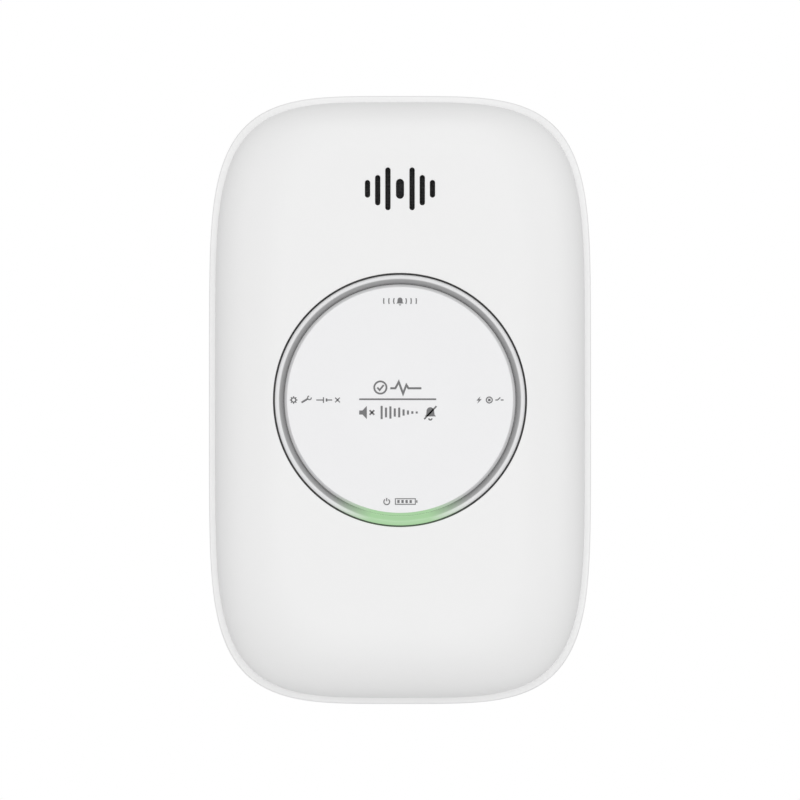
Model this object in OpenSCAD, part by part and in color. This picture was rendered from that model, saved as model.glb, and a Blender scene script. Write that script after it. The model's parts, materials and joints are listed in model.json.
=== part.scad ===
// Carbon monoxide alarm that runs on two AA cells and hangs on a slide-on wall bracket.
// The wall is the plane y = 0, the front faces -Y and +Z is up. The origin is on the wall,
// behind the middle of the case. Each piece is drawn lying on its back, with x across the case,
// y up the wall and z the distance from the wall, and on_wall() stands it up.

/* [Case] */
// Width of the case
case_w = 75.4; // [75:0.1:110]
// Height of the case
case_h = 120; // [120:0.5:170]
// Depth from the wall to the middle of the front
case_d = 32; // [32:0.1:40]
// Power of the outline across: 2 is an ellipse, more is squarer
side_power = 4; // [3.6:0.1:6]
// Power of the outline along
end_power = 5.4; // [5:0.1:7]
// How far the foot behind the case is set in
foot_in = 1.6; // [0.5:0.1:2]
// Height of the foot
foot_h = 2.8; // [2.2:0.1:3.4]
// Gap between the wall and the case
wall_gap = 0.6; // [0.3:0.1:1]

/* [Front cover] */
// Width of the rear housing's rim that shows round the cover
rim_w = 1.3; // [1:0.1:2]
// Height of the rim over the wall
rim_z = 18; // [17:0.1:18.5]
// Thickness of the cover
cover_wall = 2; // [1.6:0.1:2.4]
// How far the front curves in from each side
curve_x = 14; // [12:0.5:16]
// How far the front curves in from the top and the bottom
curve_y = 12; // [10:0.5:13]
// Straight edge of the cover above the rim
cover_side = 2; // [1.5:0.1:2.5]
// Hairline between the cover and the rim
cover_gap = 0.15; // [0.1:0.05:0.3]
// Depth of the lap between the cover and the rear housing
lap = 2; // [1.5:0.1:2.5]

/* [Sounder slots] */
// Distance of the slots from the top of the case
slot_drop = 18.4; // [18:0.1:18.8]
// Distance between slots
slot_pitch = 2; // [1.8:0.1:2.2]
// Width of the middle slot
middle_slot_w = 1.57; // [1:0.01:1.6]
// Width of the other slots
slot_w = 0.94; // [0.7:0.01:1.1]
// Height of the middle slot
middle_slot_h = 3.93; // [2:0.01:6]
// Heights of the slots on each side, from the middle out
slot_hs = [8.4, 5.95, 3.46];

/* [Button and light ring] */
// Diameter of the button
button_d = 45.4; // [37:0.1:46]
// How far the button travels
button_travel = 0.6; // [0.3:0.1:0.6]
// Thickness of the button
button_t = 2; // [1.6:0.1:2.2]
// Width of the button's bevelled edge
button_bevel = 0.6; // [0.3:0.1:1]
// Gap between the button and the light ring
button_gap = 0.25; // [0.2:0.05:0.3]
// Width of the light ring that shows
ring_w = 1.7; // [1.5:0.1:2]
// Gap between the light ring and the cover
ring_gap = 0.4; // [0.3:0.05:0.5]
// How far the ring's face slopes down towards the button
ring_slope = 1.1; // [0.6:0.1:1.3]

/* [Rear housing] */
// Thickness of the side at the rim
side_t = 3.4; // [3.3:0.1:3.6]
// Depth of the hollow at the back that hides the bracket
hollow = 2; // [1.8:0.1:2.2]
// Number of vent slots at each end
vents = 7; // [3:2:9]
// Width of a vent slot
vent_w = 1.6; // [1:0.1:2]
// Length of a vent slot
vent_l = 6; // [4:0.5:7]

/* [Wall bracket] */
// Width of the bracket
bracket_w = 52; // [50:1:56]
// Thickness of the bracket
bracket_t = 2; // [1.6:0.1:2]
// Distance between the wall screws
screw_spacing = 40; // [36:1:42]
// Diameter of the wall screw holes
screw_hole_d = 4.2; // [3.5:0.1:5]
// How far the alarm lifts off the hooks
lift = 5; // [4.5:0.1:6]
// Width of a hook
hook_w = 5; // [4:0.1:6]
// Height of a hook's neck
neck_h = 4; // [3:0.1:5]

/* [Batteries] */
// Diameter of a cell
cell_d = 14.5; // [12:0.1:14.5]
// Length of a cell
cell_l = 50.5; // [40:0.1:50.5]
// Length of a contact spring when a cell is in
spring_l = 4.6; // [4:0.1:4.8]
// Thickness of the battery door
door_t = 1.5; // [1.2:0.1:1.6]

/* [Hidden] */
$fn = 64;

// clearances
part_gap = 0.3;    // between pieces that pass each other
touch_gap = 0.05;  // between pieces that rest on each other
rest_gap = 0.15;   // over the hooks that carry the alarm
pin_gap = 0.06;    // round a hinge pin
seam_gap = 0.1;    // round the leads that pass through the board
cut = 1;           // how far a cut runs past the face it opens
hair = 0.01;       // keeps a round end's two arcs apart

// case
half_w = case_w / 2;
half_h = case_h / 2;
quarter_steps = 10;   // points on each half of a quarter of the outline
corner_spread = 70;   // crowds the outline's points towards its corners
boss_drop = 0.5;      // from the rim down to the rear housing's screw bosses
curve_step = 15;      // degrees between the levels of the front's curve
back_in = wall_gap + hollow;       // outside of the back
back_out = back_in + door_t + part_gap;   // inside of the back
cover_z = rim_z + cover_side;      // where the front starts to curve
cover_rise = case_d - cover_z;
inner_front = case_d - cover_wall;
skirt_t = 2.4;        // wall round the hollow at the back

// case screws
boss_share = [0.57, 0.858];       // of the half width and the half height
boss_r = 3.4;
cover_boss_r = 3;
case_screw_r = 1.2;
case_head_r = 2.3;
case_head_h = 1.8;
case_head_z = 9;      // where the head bears
case_screw_l = 13.5;
case_recess_l = 1.5;  // half the length of the cross in the head
case_recess_w = 0.35;
boss_x = half_w * boss_share[0];
boss_y = half_h * boss_share[1];

// circuit board
board_t = 1.6;
board_z = 21.5;       // back of the board
board_front = board_z + board_t;
board_w = case_w - 13.4;
board_top = half_h - 8;
board_bottom = -half_h + 12.5;
board_round = 14;
board_boss_gap = 0.8; // round the cover's screw bosses
post_r = 2.6;
post_in_x = 9.7;      // lower posts, from the side of the case
top_post_in_x = 11.7; // upper posts, from the side of the case
top_post_drop = 17;   // upper posts, from the top of the case
board_screw_r = 0.9;
board_head_r = 1.9;
board_head_h = 1.4;
board_screw_l = 7;
board_recess_l = 1.2;
board_recess_w = 0.3;
post_over_door = 3.2; // lower posts, over the door's opening
lead_out = 0.8;       // how far a soldered lead stands out of the board

// button, ring and light shield, as radii from the middle of the button
button_r = button_d / 2;
ring_in = button_r + button_gap;
ring_out = ring_in + ring_w;
hole_r = ring_out + ring_gap;
flange_r = hole_r + 1.35;
shield_in = button_r - 1.1;
shield_t = 0.8;
shield_out = flange_r;
channel_out = shield_out - 1;
button_sunk = 0.2;    // button's face under the middle of the front
button_under = case_d - button_sunk - button_t;
ring_sunk = 0.4;      // ring's face under the middle of the front
ring_face = case_d - ring_sunk;
ring_lip = 0.7;       // flat of the ring's outer edge
ring_round = 0.4;
flange_z = inner_front - 2.5;      // back of the ring
flange_t = 1.2;
shelf_r = shield_in - 1;
shelf_z = board_front + 2;
shelf_t = 0.8;
press_gap = 0.4;      // left under the button when it is pressed
skirt_wall = 1.4;
stem_r = 2.2;
leg_in = 1.7;         // inside of a hooked leg, from the shelf's edge
leg_gap = 0.5;        // from a leg to the shelf's edge
leg_half_w = 2.5;
leg_hook = 0.5;       // how far a leg's hook runs under the shelf
leg_slack = 0.2;
hook_h = 0.7;
rib_half_t = 0.5;
lamp_r = (shield_in + shield_t + channel_out) / 2;
lamp_w = 3;
lamp_d = 2;
lamp_t = 1.2;
lens_r = 0.8;
lens_h = 0.5;
chip_round = 0.3;

// switch
switch_w = 6.2;
switch_h = 3.5;
plunger_r = 1.7;
plunger_top = board_front + 4.9;
plunger_bottom = board_front + 1.3;

// sounder
slot_y = half_h - slot_drop;
sounder_r = 10.5;
sounder_h = 4.5;
sounder_t = 1;
sounder_hole_r = 2.5;
disc_r = sounder_r - sounder_t - 0.2;
disc_z = board_front + 1.8;
disc_t = 0.3;
crystal_share = 0.7;  // of the disc's radius
crystal_t = 0.2;
sounder_lip = 2;      // width of the shelf that carries the disc
mesh_w = 18;
mesh_h = 11;
mesh_t = 0.4;
mesh_round = 2;
mesh_gap = 0.2;

// gas sensor, with its pins inside the light shield and clear of the switch
pin_r = 0.45;
pin_ring = 6;
pin_clear = 2;        // from the switch to the nearest pins
sensor_x = -7;
sensor_y = switch_w / 2 + pin_ring / 2 + pin_clear;
sensor_r = 10;
sensor_h = 12;
sensor_base_h = 2;
base_lip = 0.2;       // how far the base stands out round the can
inlet_r = 1.4;
inlet_h = 1.5;
crown_share = 0.6;    // of the can's radius
crown_h = 0.6;
can_round = 0.5;

// board parts, from the board's bottom edge
parts_row = 9.5;      // chip, coil and capacitors
resistor_row = 17.2;
controller_x = -11;
controller_size = [9, 7, 1.6];
controller_legs = 10;
amplifier_out = 6.4;  // from the switch's side, clear of the button's legs
amplifier_place = [switch_w / 2 + amplifier_out, 0];
amplifier_size = [5, 4, 1.5];
amplifier_legs = 4;
chip_corner = 0.2;
chip_lift = 0.1;
leg_half = 0.2;       // half the width of a chip's leg
leg_out = 0.9;
leg_into = 0.1;
coil_x = 4;
coil_r = 4;
coil_waist_r = 2.8;
coil_h = 5.2;
coil_rim = 1;
coil_slope = 0.4;
capacitor_xs = [14, 22];
capacitor_r = 3.15;
capacitor_h = 5.4;
groove_z = 1;         // foot of the groove round a capacitor
groove_h = 0.3;
groove_in = 0.25;
resistor_pitch = 3.2;
resistor_size = [0.8, 1.6, 0.5];
resistors_each_side = 6;

// battery bay
cell_r = cell_d / 2;
cell_pitch = cell_d + 1.1;
bay_gap = 0.4;
bay_wall = 2;
contact_t = 0.4;
bay_half_w = (cell_l + spring_l + 2 * contact_t) / 2 + touch_gap;
bay_boss_gap = 0.83;  // from the cover's lower bosses up to the bay's wall
bay_bottom = -boss_y + cover_boss_r + bay_boss_gap + bay_wall;
bay_top = bay_bottom + cell_pitch + cell_d + 2 * bay_gap;
cell_z = back_out + part_gap + cell_r;
bay_front = cell_z + cell_r + bay_gap;
bay_lid = 1.5;
lower_y = bay_bottom + bay_gap + cell_r;
upper_y = lower_y + cell_pitch;
nub_r = 2.75;
nub_h = 1.2;
contact_h = 11;
tab_w = 2;
spring_wire = 0.4;    // radius of the spring's wire
spring_r = 4;
spring_turns = 2.5;
spring_taper = 0.6;
cell_edge = 0.4;      // bevels round a cell's two ends
cell_base_edge = 0.3;

// door hinge
knuckle_r = 1.3;
hinge_y = bay_top + knuckle_r + 0.25;
hinge_z = back_in + knuckle_r + 0.1;
knuckle_gap = 0.1;
hinge_pin_r = 0.8;
hinge_pin_l = 1.7;
door_half_w = bay_half_w + 1;
ear_w = 2.2;
ear_reach = 2.2;      // from the hinge's axis to the ear's edges
opening_top = hinge_y + knuckle_r + 0.7;
door_bottom = bay_bottom - 1.2;
nib_half_w = 5;
nib_out = 0.22;
nib_z = 0.5;
nib_h = 0.7;
notch_w = 12;         // fingernail notch under the door
notch_h = 4;
notch_round = 1.9;
ridges = 5;
ridge_pitch = 1.6;
ridge_start = 4;      // from the door's bottom edge
ridge_half_l = 8;
ridge_half_w = 0.4;
ridge_deep = 0.4;

// bracket, clear of the door's opening when the alarm is lifted
bracket_clear = 1.2;
bracket_bottom = opening_top + lift + bracket_clear;
bracket_top = half_h - 11;
bracket_round = 8;
bracket_mid = (bracket_top + bracket_bottom) / 2;
head_seat = 0.9;      // depth of the seat for a wall screw's head
head_seat_r = 4.2;
hook_x = 17;
hook_head_t = 1.6;
hook_z = back_out + part_gap;      // back of a hook's head
hook_reach = lift - 1;             // how far a head stands up behind the back
lower_hook_in = 9;    // from the bracket's bottom edge
upper_hook_in = 17;   // from the bracket's top edge
lower_hook_y = bracket_bottom + lower_hook_in;
upper_hook_y = bracket_top - upper_hook_in;
vent_spread = 2.5;    // distance between vents, in vent widths

// points of the case's outline at a given half width and half height
function side_share(i) = sin(corner_spread * i / quarter_steps) / sin(corner_spread);
function side_points(w, h) = [for (i = [0 : quarter_steps])
    let (s = pow(0.5, 1 / end_power) * side_share(i))
    [w * pow(1 - pow(s, end_power), 1 / side_power), h * s]];
function end_points(w, h) = [for (i = [quarter_steps - 1 : -1 : 0])
    let (s = pow(0.5, 1 / side_power) * side_share(i))
    [w * s, h * pow(1 - pow(s, side_power), 1 / end_power)]];
function quarter(w, h) = concat(side_points(w, h), end_points(w, h));
function turned(points, x, y) = [for (p = points) [x * p[0], y * p[1]]];
function backwards(points) = [for (i = [len(points) - 2 : -1 : 1]) points[i]];
function outline(w, h) = concat(
    quarter(w, h), turned(backwards(quarter(w, h)), -1, 1),
    turned(quarter(w, h), -1, -1), turned(backwards(quarter(w, h)), 1, -1));

// points of a rectangle with round corners
function rounded(w, h, r) = [for (corner = [[1, 1, 0], [-1, 1, 90], [-1, -1, 180], [1, -1, 270]],
                                  a = [0 : 15 : 90])
    [corner[0] * (w / 2 - r) + r * cos(corner[2] + a), corner[1] * (h / 2 - r) + r * sin(corner[2] + a)]];

// levels of the front's curve, from its edge to its flat middle
function front_levels(wall, rise) = [for (t = [0 : curve_step : 90]) [
    half_w - rim_w - wall - (curve_x - wall) * (1 - cos(t)),
    half_h - rim_w - wall - (curve_y - wall) * (1 - cos(t)),
    cover_z + rise * sin(t)]];

// centre line and rings of a coil that tapers along z
function coil_centre(t, r0, r1, length, turns) =
    [(r0 + (r1 - r0) * t) * cos(360 * turns * t), (r0 + (r1 - r0) * t) * sin(360 * turns * t), length * t];

// solid through outlines at several levels: each is [half width, half height, z]
module loft(levels) {
    count = len(outline(1, 1));
    points = [for (level = levels, p = outline(level[0], level[1])) [p[0], p[1], level[2]]];
    sides = [for (k = [0 : len(levels) - 2], i = [0 : count - 1], half = [0, 1])
        let (a = k * count + i, b = k * count + (i + 1) % count)
        half == 0 ? [a, a + count, b + count] : [a, b + count, b]];
    back = [for (i = [0 : count - 1]) i];
    front = [for (i = [count - 1 : -1 : 0]) (len(levels) - 1) * count + i];
    polyhedron(points = points, faces = concat(sides, [back, front]), convexity = 4);
}

// straight block with the case's outline, set in from the case's side
module slab(inset, z0, z1) {
    translate([0, 0, z0])
        linear_extrude(z1 - z0)
            polygon(outline(half_w - inset, half_h - inset));
}

// plate with round corners, centred in x and y
module plate(w, h, r, z0, z1) {
    translate([0, 0, z0])
        linear_extrude(z1 - z0)
            polygon(rounded(w, h, r));
}

// round bar along z
module bar(r, z0, z1) {
    translate([0, 0, z0])
        cylinder(r = r, h = z1 - z0);
}

// block between two corners
module block(low, high) {
    translate(low)
        cube([for (i = [0 : 2]) high[i] - low[i]]);
}

// copies at the four case screws and at the four board posts
module at_bosses() {
    for (x = [-boss_x, boss_x], y = [-boss_y, boss_y])
        translate([x, y, 0])
            children();
}
module at_posts() {
    for (side = [-1, 1]) {
        translate([side * (half_w - top_post_in_x), half_h - top_post_drop, 0])
            children();
        translate([side * (half_w - post_in_x), opening_top + post_over_door, 0])
            children();
    }
}

// copies at the four hooks of the bracket
module at_hooks() {
    for (x = [-hook_x, hook_x], y = [lower_hook_y, upper_hook_y])
        translate([x, y, 0])
            children();
}

// stands a piece up against the wall
module on_wall() {
    rotate([90, 0, 0])
        children();
}

module wall_bracket() {
    color("gainsboro") on_wall() {
        difference() {
            translate([0, bracket_mid, 0])
                plate(bracket_w, bracket_top - bracket_bottom, bracket_round, 0, bracket_t);
            for (side = [-1, 1])
                translate([side * screw_spacing / 2, bracket_mid, 0]) {
                    bar(screw_hole_d / 2, -cut, bracket_t + cut);
                    bar(head_seat_r, bracket_t - head_seat, bracket_t + cut);
                }
        }
        at_hooks() {
            block([-hook_w / 2, 0, bracket_t / 2], [hook_w / 2, neck_h, hook_z + hook_head_t]);
            block([-hook_w / 2, 0, hook_z], [hook_w / 2, neck_h + hook_reach, hook_z + hook_head_t]);
        }
    }
}

// outside of the rear housing, with its foot set in behind it
module rear_outside() {
    slab(0, wall_gap + foot_h, rim_z);
    slab(foot_in, wall_gap, rim_z - lap);
}

// walls round the batteries
module bay_outside() {
    translate([0, (bay_top + bay_bottom) / 2, 0])
        plate(2 * (bay_half_w + bay_wall), bay_top - bay_bottom + 2 * bay_wall, bay_wall, back_out,
              bay_front + bay_lid);
}

module vent_slots() {
    for (i = [0 : vents - 1], end = [-1, 1])
        rotate([0, 0, end > 0 ? 0 : 180])
            translate([(i - (vents - 1) / 2) * vent_spread * vent_w, half_h, (back_out + rim_z - lap) / 2])
                rotate([90, 0, 0])
                    plate(vent_w, vent_l, vent_w / 2 - hair, -cut, side_t + cut);
}

module rear_housing() {
    color("white") on_wall() {
        difference() {
            union() {
                difference() {
                    rear_outside();
                    slab(side_t, back_out, rim_z + cut);
                    slab(rim_w - cover_gap, rim_z - lap, rim_z + cut);
                    slab(skirt_t + foot_in, 0, back_in);
                }
                at_bosses()
                    bar(boss_r, back_in, rim_z - boss_drop);
                at_posts()
                    bar(post_r, back_in, board_z);
                bay_outside();
                for (side = [-1, 1])
                    translate([side * (door_half_w + part_gap + ear_w / 2), hinge_y, 0])
                        block([-ear_w / 2, -ear_reach, back_in],
                              [ear_w / 2, ear_reach, hinge_z + ear_reach]);
            }
            // battery bay and the door's opening
            block([-bay_half_w, bay_bottom, 0], [bay_half_w, bay_top, bay_front]);
            block([-door_half_w - part_gap, door_bottom - part_gap, 0],
                  [door_half_w + part_gap, opening_top, back_out]);
            translate([0, hinge_y, hinge_z])
                rotate([0, 90, 0])
                    bar(knuckle_r + part_gap, -door_half_w - part_gap, door_half_w + part_gap);
            translate([0, hinge_y, hinge_z])
                rotate([0, 90, 0])
                    for (side = [0, 180])
                        rotate([side, 0, 0])
                            bar(hinge_pin_r + pin_gap, door_half_w, door_half_w + hinge_pin_l + part_gap);
            // fingernail notch under the door
            translate([0, door_bottom - part_gap, 0])
                plate(notch_w, notch_h, notch_round, 0, back_in + cut);
            // slots for the battery tabs
            for (y = [lower_y, upper_y])
                translate([bay_half_w - contact_t / 2, y, 0])
                    plate(contact_t + 2 * part_gap, tab_w + 2 * part_gap, part_gap, bay_front - cut,
                          bay_front + bay_lid + cut);
            // case screws, board screws and hooks
            at_bosses() {
                bar(case_head_r + part_gap, 0, case_head_z);
                bar(case_screw_r + part_gap, 0, rim_z);
            }
            at_posts()
                bar(board_screw_r + touch_gap, board_z - board_screw_l, board_z + cut);
            at_hooks()
                block([-hook_w / 2 - part_gap, -lift - touch_gap, 0],
                      [hook_w / 2 + part_gap, neck_h + rest_gap, back_out + cut]);
            vent_slots();
        }
    }
}

module sounder_slots() {
    translate([0, slot_y, 0]) {
        plate(middle_slot_w, middle_slot_h, middle_slot_w / 2 - hair, inner_front - cut, case_d + cut);
        for (i = [0 : len(slot_hs) - 1], side = [-1, 1])
            translate([side * (slot_pitch * (i + 1) + (middle_slot_w - slot_w) / 2), 0, 0])
                plate(slot_w, slot_hs[i], slot_w / 2 - hair, inner_front - cut, case_d + cut);
    }
}

module front_cover() {
    foot_z = rim_z - lap + touch_gap;
    foot = [half_w - rim_w, half_h - rim_w, foot_z];
    hollow_foot = [half_w - rim_w - cover_wall, half_h - rim_w - cover_wall, foot_z - cut];
    color("white") on_wall() {
        difference() {
            loft(concat([foot], front_levels(0, cover_rise)));
            difference() {
                loft(concat([hollow_foot], front_levels(cover_wall, cover_rise - cover_wall)));
                at_bosses()
                    bar(cover_boss_r, rim_z - boss_drop + touch_gap, case_d);
            }
            bar(hole_r, foot_z, case_d + cut);
            sounder_slots();
            // room for the rear housing's bosses where they run into its side
            at_bosses()
                bar(boss_r + seam_gap, foot_z - cut, rim_z - boss_drop + touch_gap);
            at_bosses()
                bar(case_screw_r + touch_gap, foot_z, case_head_z + case_screw_l + cut);
        }
    }
}

module light_ring() {
    color("silver") on_wall() {
        rotate_extrude()
            polygon([
                [ring_in, flange_z], [flange_r, flange_z], [flange_r, flange_z + flange_t],
                [ring_out, flange_z + flange_t], [ring_out, ring_face - ring_round],
                [ring_out - ring_round, ring_face], [ring_out - ring_lip, ring_face],
                [ring_in, ring_face - ring_slope]]);
    }
}

module light_shield() {
    color("dimgray") on_wall() {
        difference() {
            union() {
                rotate_extrude()
                    polygon([
                        [shield_in, board_front], [shield_out, board_front], [shield_out, flange_z],
                        [channel_out, flange_z], [channel_out, board_front + shield_t],
                        [shield_in + shield_t, board_front + shield_t],
                        [shield_in + shield_t, button_under - button_travel - press_gap],
                        [shield_in, button_under - button_travel - press_gap],
                        [shield_in, shelf_z + shelf_t], [shelf_r, shelf_z + shelf_t],
                        [shelf_r, shelf_z], [shield_in, shelf_z]]);
                for (a = [45 : 90 : 315])
                    rotate([0, 0, a])
                        block([shield_in + shield_t / 2, -rib_half_t, board_front],
                              [channel_out + part_gap, rib_half_t, flange_z - touch_gap]);
            }
            for (a = [0 : 90 : 270])
                rotate([0, 0, a])
                    translate([lamp_r, 0, 0])
                        plate(lamp_d + 2 * part_gap, lamp_w + 2 * part_gap, part_gap, board_front - cut,
                              board_front + shield_t + cut);
        }
    }
}

module button_cap() {
    skirt_out = shield_in - part_gap;
    leg_foot = shelf_z - leg_slack - hook_h;
    color("white") on_wall() {
        rotate_extrude()
            polygon([
                [0, button_under], [button_r, button_under],
                [button_r, button_under + button_t - button_bevel],
                [button_r - button_bevel, button_under + button_t], [0, button_under + button_t]]);
        difference() {
            bar(skirt_out, shelf_z + shelf_t + button_travel + press_gap, button_under + cut / 2);
            bar(skirt_out - skirt_wall, shelf_z, button_under);
        }
        bar(stem_r, plunger_top + touch_gap, button_under + cut / 2);
        for (a = [45 : 90 : 315])
            rotate([0, 0, a]) {
                block([shelf_r - leg_in, -leg_half_w, leg_foot],
                      [shelf_r - leg_gap, leg_half_w, button_under + cut / 2]);
                block([shelf_r - leg_in, -leg_half_w, leg_foot],
                      [shelf_r + leg_hook, leg_half_w, shelf_z - leg_slack]);
            }
    }
}

module switch_body() {
    color("dimgray") on_wall() {
        difference() {
            plate(switch_w, switch_w, chip_round, board_front, board_front + switch_h);
            bar(plunger_r + touch_gap, plunger_bottom - button_travel - seam_gap,
                board_front + switch_h + cut);
        }
    }
}

module switch_plunger() {
    color("ivory") on_wall()
        bar(plunger_r, plunger_bottom, plunger_top);
}

module circuit_board() {
    color("seagreen") on_wall() {
        difference() {
            translate([0, (board_top + board_bottom) / 2, 0])
                plate(board_w, board_top - board_bottom, board_round, board_z, board_front);
            at_bosses()
                bar(cover_boss_r + board_boss_gap, board_z - cut, board_front + cut);
            at_posts()
                bar(board_screw_r + part_gap, board_z - cut, board_front + cut);
            at_sensor_pins()
                bar(pin_r + seam_gap, board_z - cut, board_front + cut);
            for (y = [lower_y, upper_y])
                translate([bay_half_w - contact_t / 2, y, 0])
                    plate(contact_t + 2 * part_gap, tab_w + 2 * part_gap, part_gap, board_z - cut,
                          board_front + cut);
        }
    }
}

// lamp under the light ring, turned round the button from the right
module lamp(turn) {
    on_wall()
        rotate([0, 0, turn])
            translate([lamp_r, 0, 0]) {
                plate(lamp_d, lamp_w, chip_round, board_front, board_front + lamp_t);
                bar(lens_r, board_front + lamp_t, board_front + lamp_t + lens_h);
            }
}

module power_lamp() {
    color("limegreen") lamp(270);
}

module alarm_lamp() {
    color("red") lamp(90);
}

module fault_lamp() {
    color("orange") lamp(0);
}

module malfunction_lamp() {
    color("gold") lamp(180);
}

module sounder_case() {
    color("black") on_wall()
        translate([0, slot_y, 0])
            rotate_extrude()
                polygon([
                    [sounder_r - sounder_lip, board_front], [sounder_r, board_front],
                    [sounder_r, board_front + sounder_h], [sounder_hole_r, board_front + sounder_h],
                    [sounder_hole_r, board_front + sounder_h - sounder_t],
                    [sounder_r - sounder_t, board_front + sounder_h - sounder_t],
                    [sounder_r - sounder_t, disc_z - touch_gap],
                    [sounder_r - sounder_lip, disc_z - touch_gap]]);
}

module sounder_disc() {
    color("goldenrod") on_wall()
        translate([0, slot_y, 0]) {
            bar(disc_r, disc_z, disc_z + disc_t);
            bar(disc_r * crystal_share, disc_z + disc_t / 2, disc_z + disc_t + crystal_t);
        }
}

module sounder_mesh() {
    color("black") on_wall()
        translate([0, slot_y, 0])
            plate(mesh_w, mesh_h, mesh_round, inner_front - mesh_t - mesh_gap, inner_front - mesh_gap);
}

// copies at the sensor's three pins
module at_sensor_pins() {
    for (a = [90, 210, 330])
        translate([sensor_x, sensor_y, 0])
            rotate([0, 0, a])
                translate([pin_ring, 0, 0])
                    children();
}

module sensor_can() {
    can_foot = board_z - sensor_base_h - touch_gap;
    crown = can_foot - sensor_h;
    shoulder = crown + crown_h;
    color("silver") on_wall()
        translate([sensor_x, sensor_y, 0])
            rotate_extrude()
                polygon([
                    [inlet_r, crown], [sensor_r * crown_share, crown], [sensor_r * crown_share, shoulder],
                    [sensor_r - can_round, shoulder], [sensor_r, shoulder + can_round],
                    [sensor_r, can_foot], [0, can_foot], [0, crown + inlet_h], [inlet_r, crown + inlet_h]]);
}

module sensor_base() {
    color("ivory") on_wall() {
        difference() {
            translate([sensor_x, sensor_y, 0])
                bar(sensor_r + base_lip, board_z - sensor_base_h, board_z);
            at_sensor_pins()
                bar(pin_r + touch_gap, board_z - sensor_base_h - cut, board_z + cut);
        }
    }
}

module sensor_pins() {
    color("gold") on_wall()
        at_sensor_pins()
            bar(pin_r, board_z - sensor_base_h + touch_gap, board_front + lead_out);
}

// flat chip with legs along two sides
module chip(size, legs) {
    plate(size[0], size[1], chip_corner, board_front + chip_lift, board_front + size[2]);
    for (i = [0 : legs - 1], turn = [0, 180])
        rotate([0, 0, turn])
            translate([(i - (legs - 1) / 2) * size[0] / legs, size[1] / 2, 0])
                block([-leg_half, -leg_into, board_front],
                      [leg_half, leg_out, board_front + size[2] / 2]);
}

module controller_chip() {
    color("black") on_wall()
        translate([controller_x, board_bottom + parts_row, 0])
            chip(controller_size, controller_legs);
}

module sensor_amplifier() {
    color("black") on_wall()
        translate(amplifier_place)
            chip(amplifier_size, amplifier_legs);
}

module sounder_coil() {
    color("darkgoldenrod") on_wall()
        translate([coil_x, board_bottom + parts_row, board_front])
            rotate_extrude()
                polygon([
                    [0, 0], [coil_r, 0], [coil_r, coil_rim], [coil_waist_r, coil_rim + coil_slope],
                    [coil_waist_r, coil_h - coil_rim - coil_slope], [coil_r, coil_h - coil_rim],
                    [coil_r, coil_h], [0, coil_h]]);
}

module capacitors() {
    color("midnightblue") on_wall()
        for (x = capacitor_xs)
            translate([x, board_bottom + parts_row, board_front])
                rotate_extrude()
                    polygon([
                        [0, 0], [capacitor_r, 0], [capacitor_r, groove_z],
                        [capacitor_r - groove_in, groove_z + groove_h],
                        [capacitor_r, groove_z + 2 * groove_h], [capacitor_r, capacitor_h - groove_h],
                        [capacitor_r - groove_h, capacitor_h], [0, capacitor_h]]);
}

module chip_resistors() {
    color("dimgray") on_wall()
        for (i = [-resistors_each_side : resistors_each_side])
            translate([i * resistor_pitch - resistor_size[0] / 2,
                       board_bottom + resistor_row - resistor_size[1] / 2, board_front])
                cube(resistor_size);
}

// cell along x, its nub pointing the way that side says
module cell(y, side) {
    color("darkorange") on_wall()
        translate([side * (bay_half_w - contact_t - touch_gap), y, cell_z])
            rotate([0, -90 * side, 0])
                rotate_extrude()
                    polygon([
                        [0, 0], [nub_r, 0], [nub_r, nub_h], [cell_r - cell_edge, nub_h],
                        [cell_r, nub_h + cell_edge], [cell_r, cell_l - cell_base_edge],
                        [cell_r - cell_base_edge, cell_l], [0, cell_l]]);
}

module upper_cell() {
    cell(upper_y, 1);
}

module lower_cell() {
    cell(lower_y, -1);
}

// contact plate against one end of the bay
module contact(side, y0, y1) {
    block([side > 0 ? bay_half_w - contact_t : -bay_half_w, y0, cell_z - contact_h / 2],
          [side > 0 ? bay_half_w : -bay_half_w + contact_t, y1, cell_z + contact_h / 2]);
}

// contact plate with a tab that is soldered into the board
module tab_contact(y) {
    contact(1, y - contact_h / 2, y + contact_h / 2);
    block([bay_half_w - contact_t, y - tab_w / 2, cell_z],
          [bay_half_w, y + tab_w / 2, board_front + lead_out]);
}

module link_contact() {
    color("silver") on_wall()
        contact(-1, lower_y - contact_h / 2, upper_y + contact_h / 2);
}

module positive_contact() {
    color("silver") on_wall()
        tab_contact(upper_y);
}

module negative_contact() {
    color("silver") on_wall()
        tab_contact(lower_y);
}

// tapered coil of round wire along z
module coil_spring() {
    sides = 8;
    rings = 40;
    length = spring_l - 2 * spring_wire - 2 * touch_gap;
    centre = [for (i = [0 : rings])
        coil_centre(i / rings, spring_r, spring_r * spring_taper, length, spring_turns)];
    points = [for (i = [0 : rings], k = [0 : sides - 1])
        let (turn = 360 * spring_turns * i / rings, a = 360 * k / sides,
             r = spring_wire * cos(a), z = -spring_wire * sin(a))
        centre[i] + [r * cos(turn), r * sin(turn), z]];
    tube = [for (i = [0 : rings - 1], k = [0 : sides - 1], half = [0, 1])
        let (a = i * sides + k, b = i * sides + (k + 1) % sides)
        half == 0 ? [a, a + sides, b + sides] : [a, b + sides, b]];
    start = [for (k = [0 : sides - 1]) k];
    end = [for (k = [sides - 1 : -1 : 0]) rings * sides + k];
    translate([0, 0, spring_wire + touch_gap])
        polyhedron(points = points, faces = concat(tube, [start, end]), convexity = 6);
}

module battery_springs() {
    color("silver") on_wall() {
        translate([bay_half_w - contact_t, lower_y, cell_z])
            rotate([0, -90, 0])
                coil_spring();
        translate([-bay_half_w + contact_t, upper_y, cell_z])
            rotate([0, 90, 0])
                coil_spring();
    }
}

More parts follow.
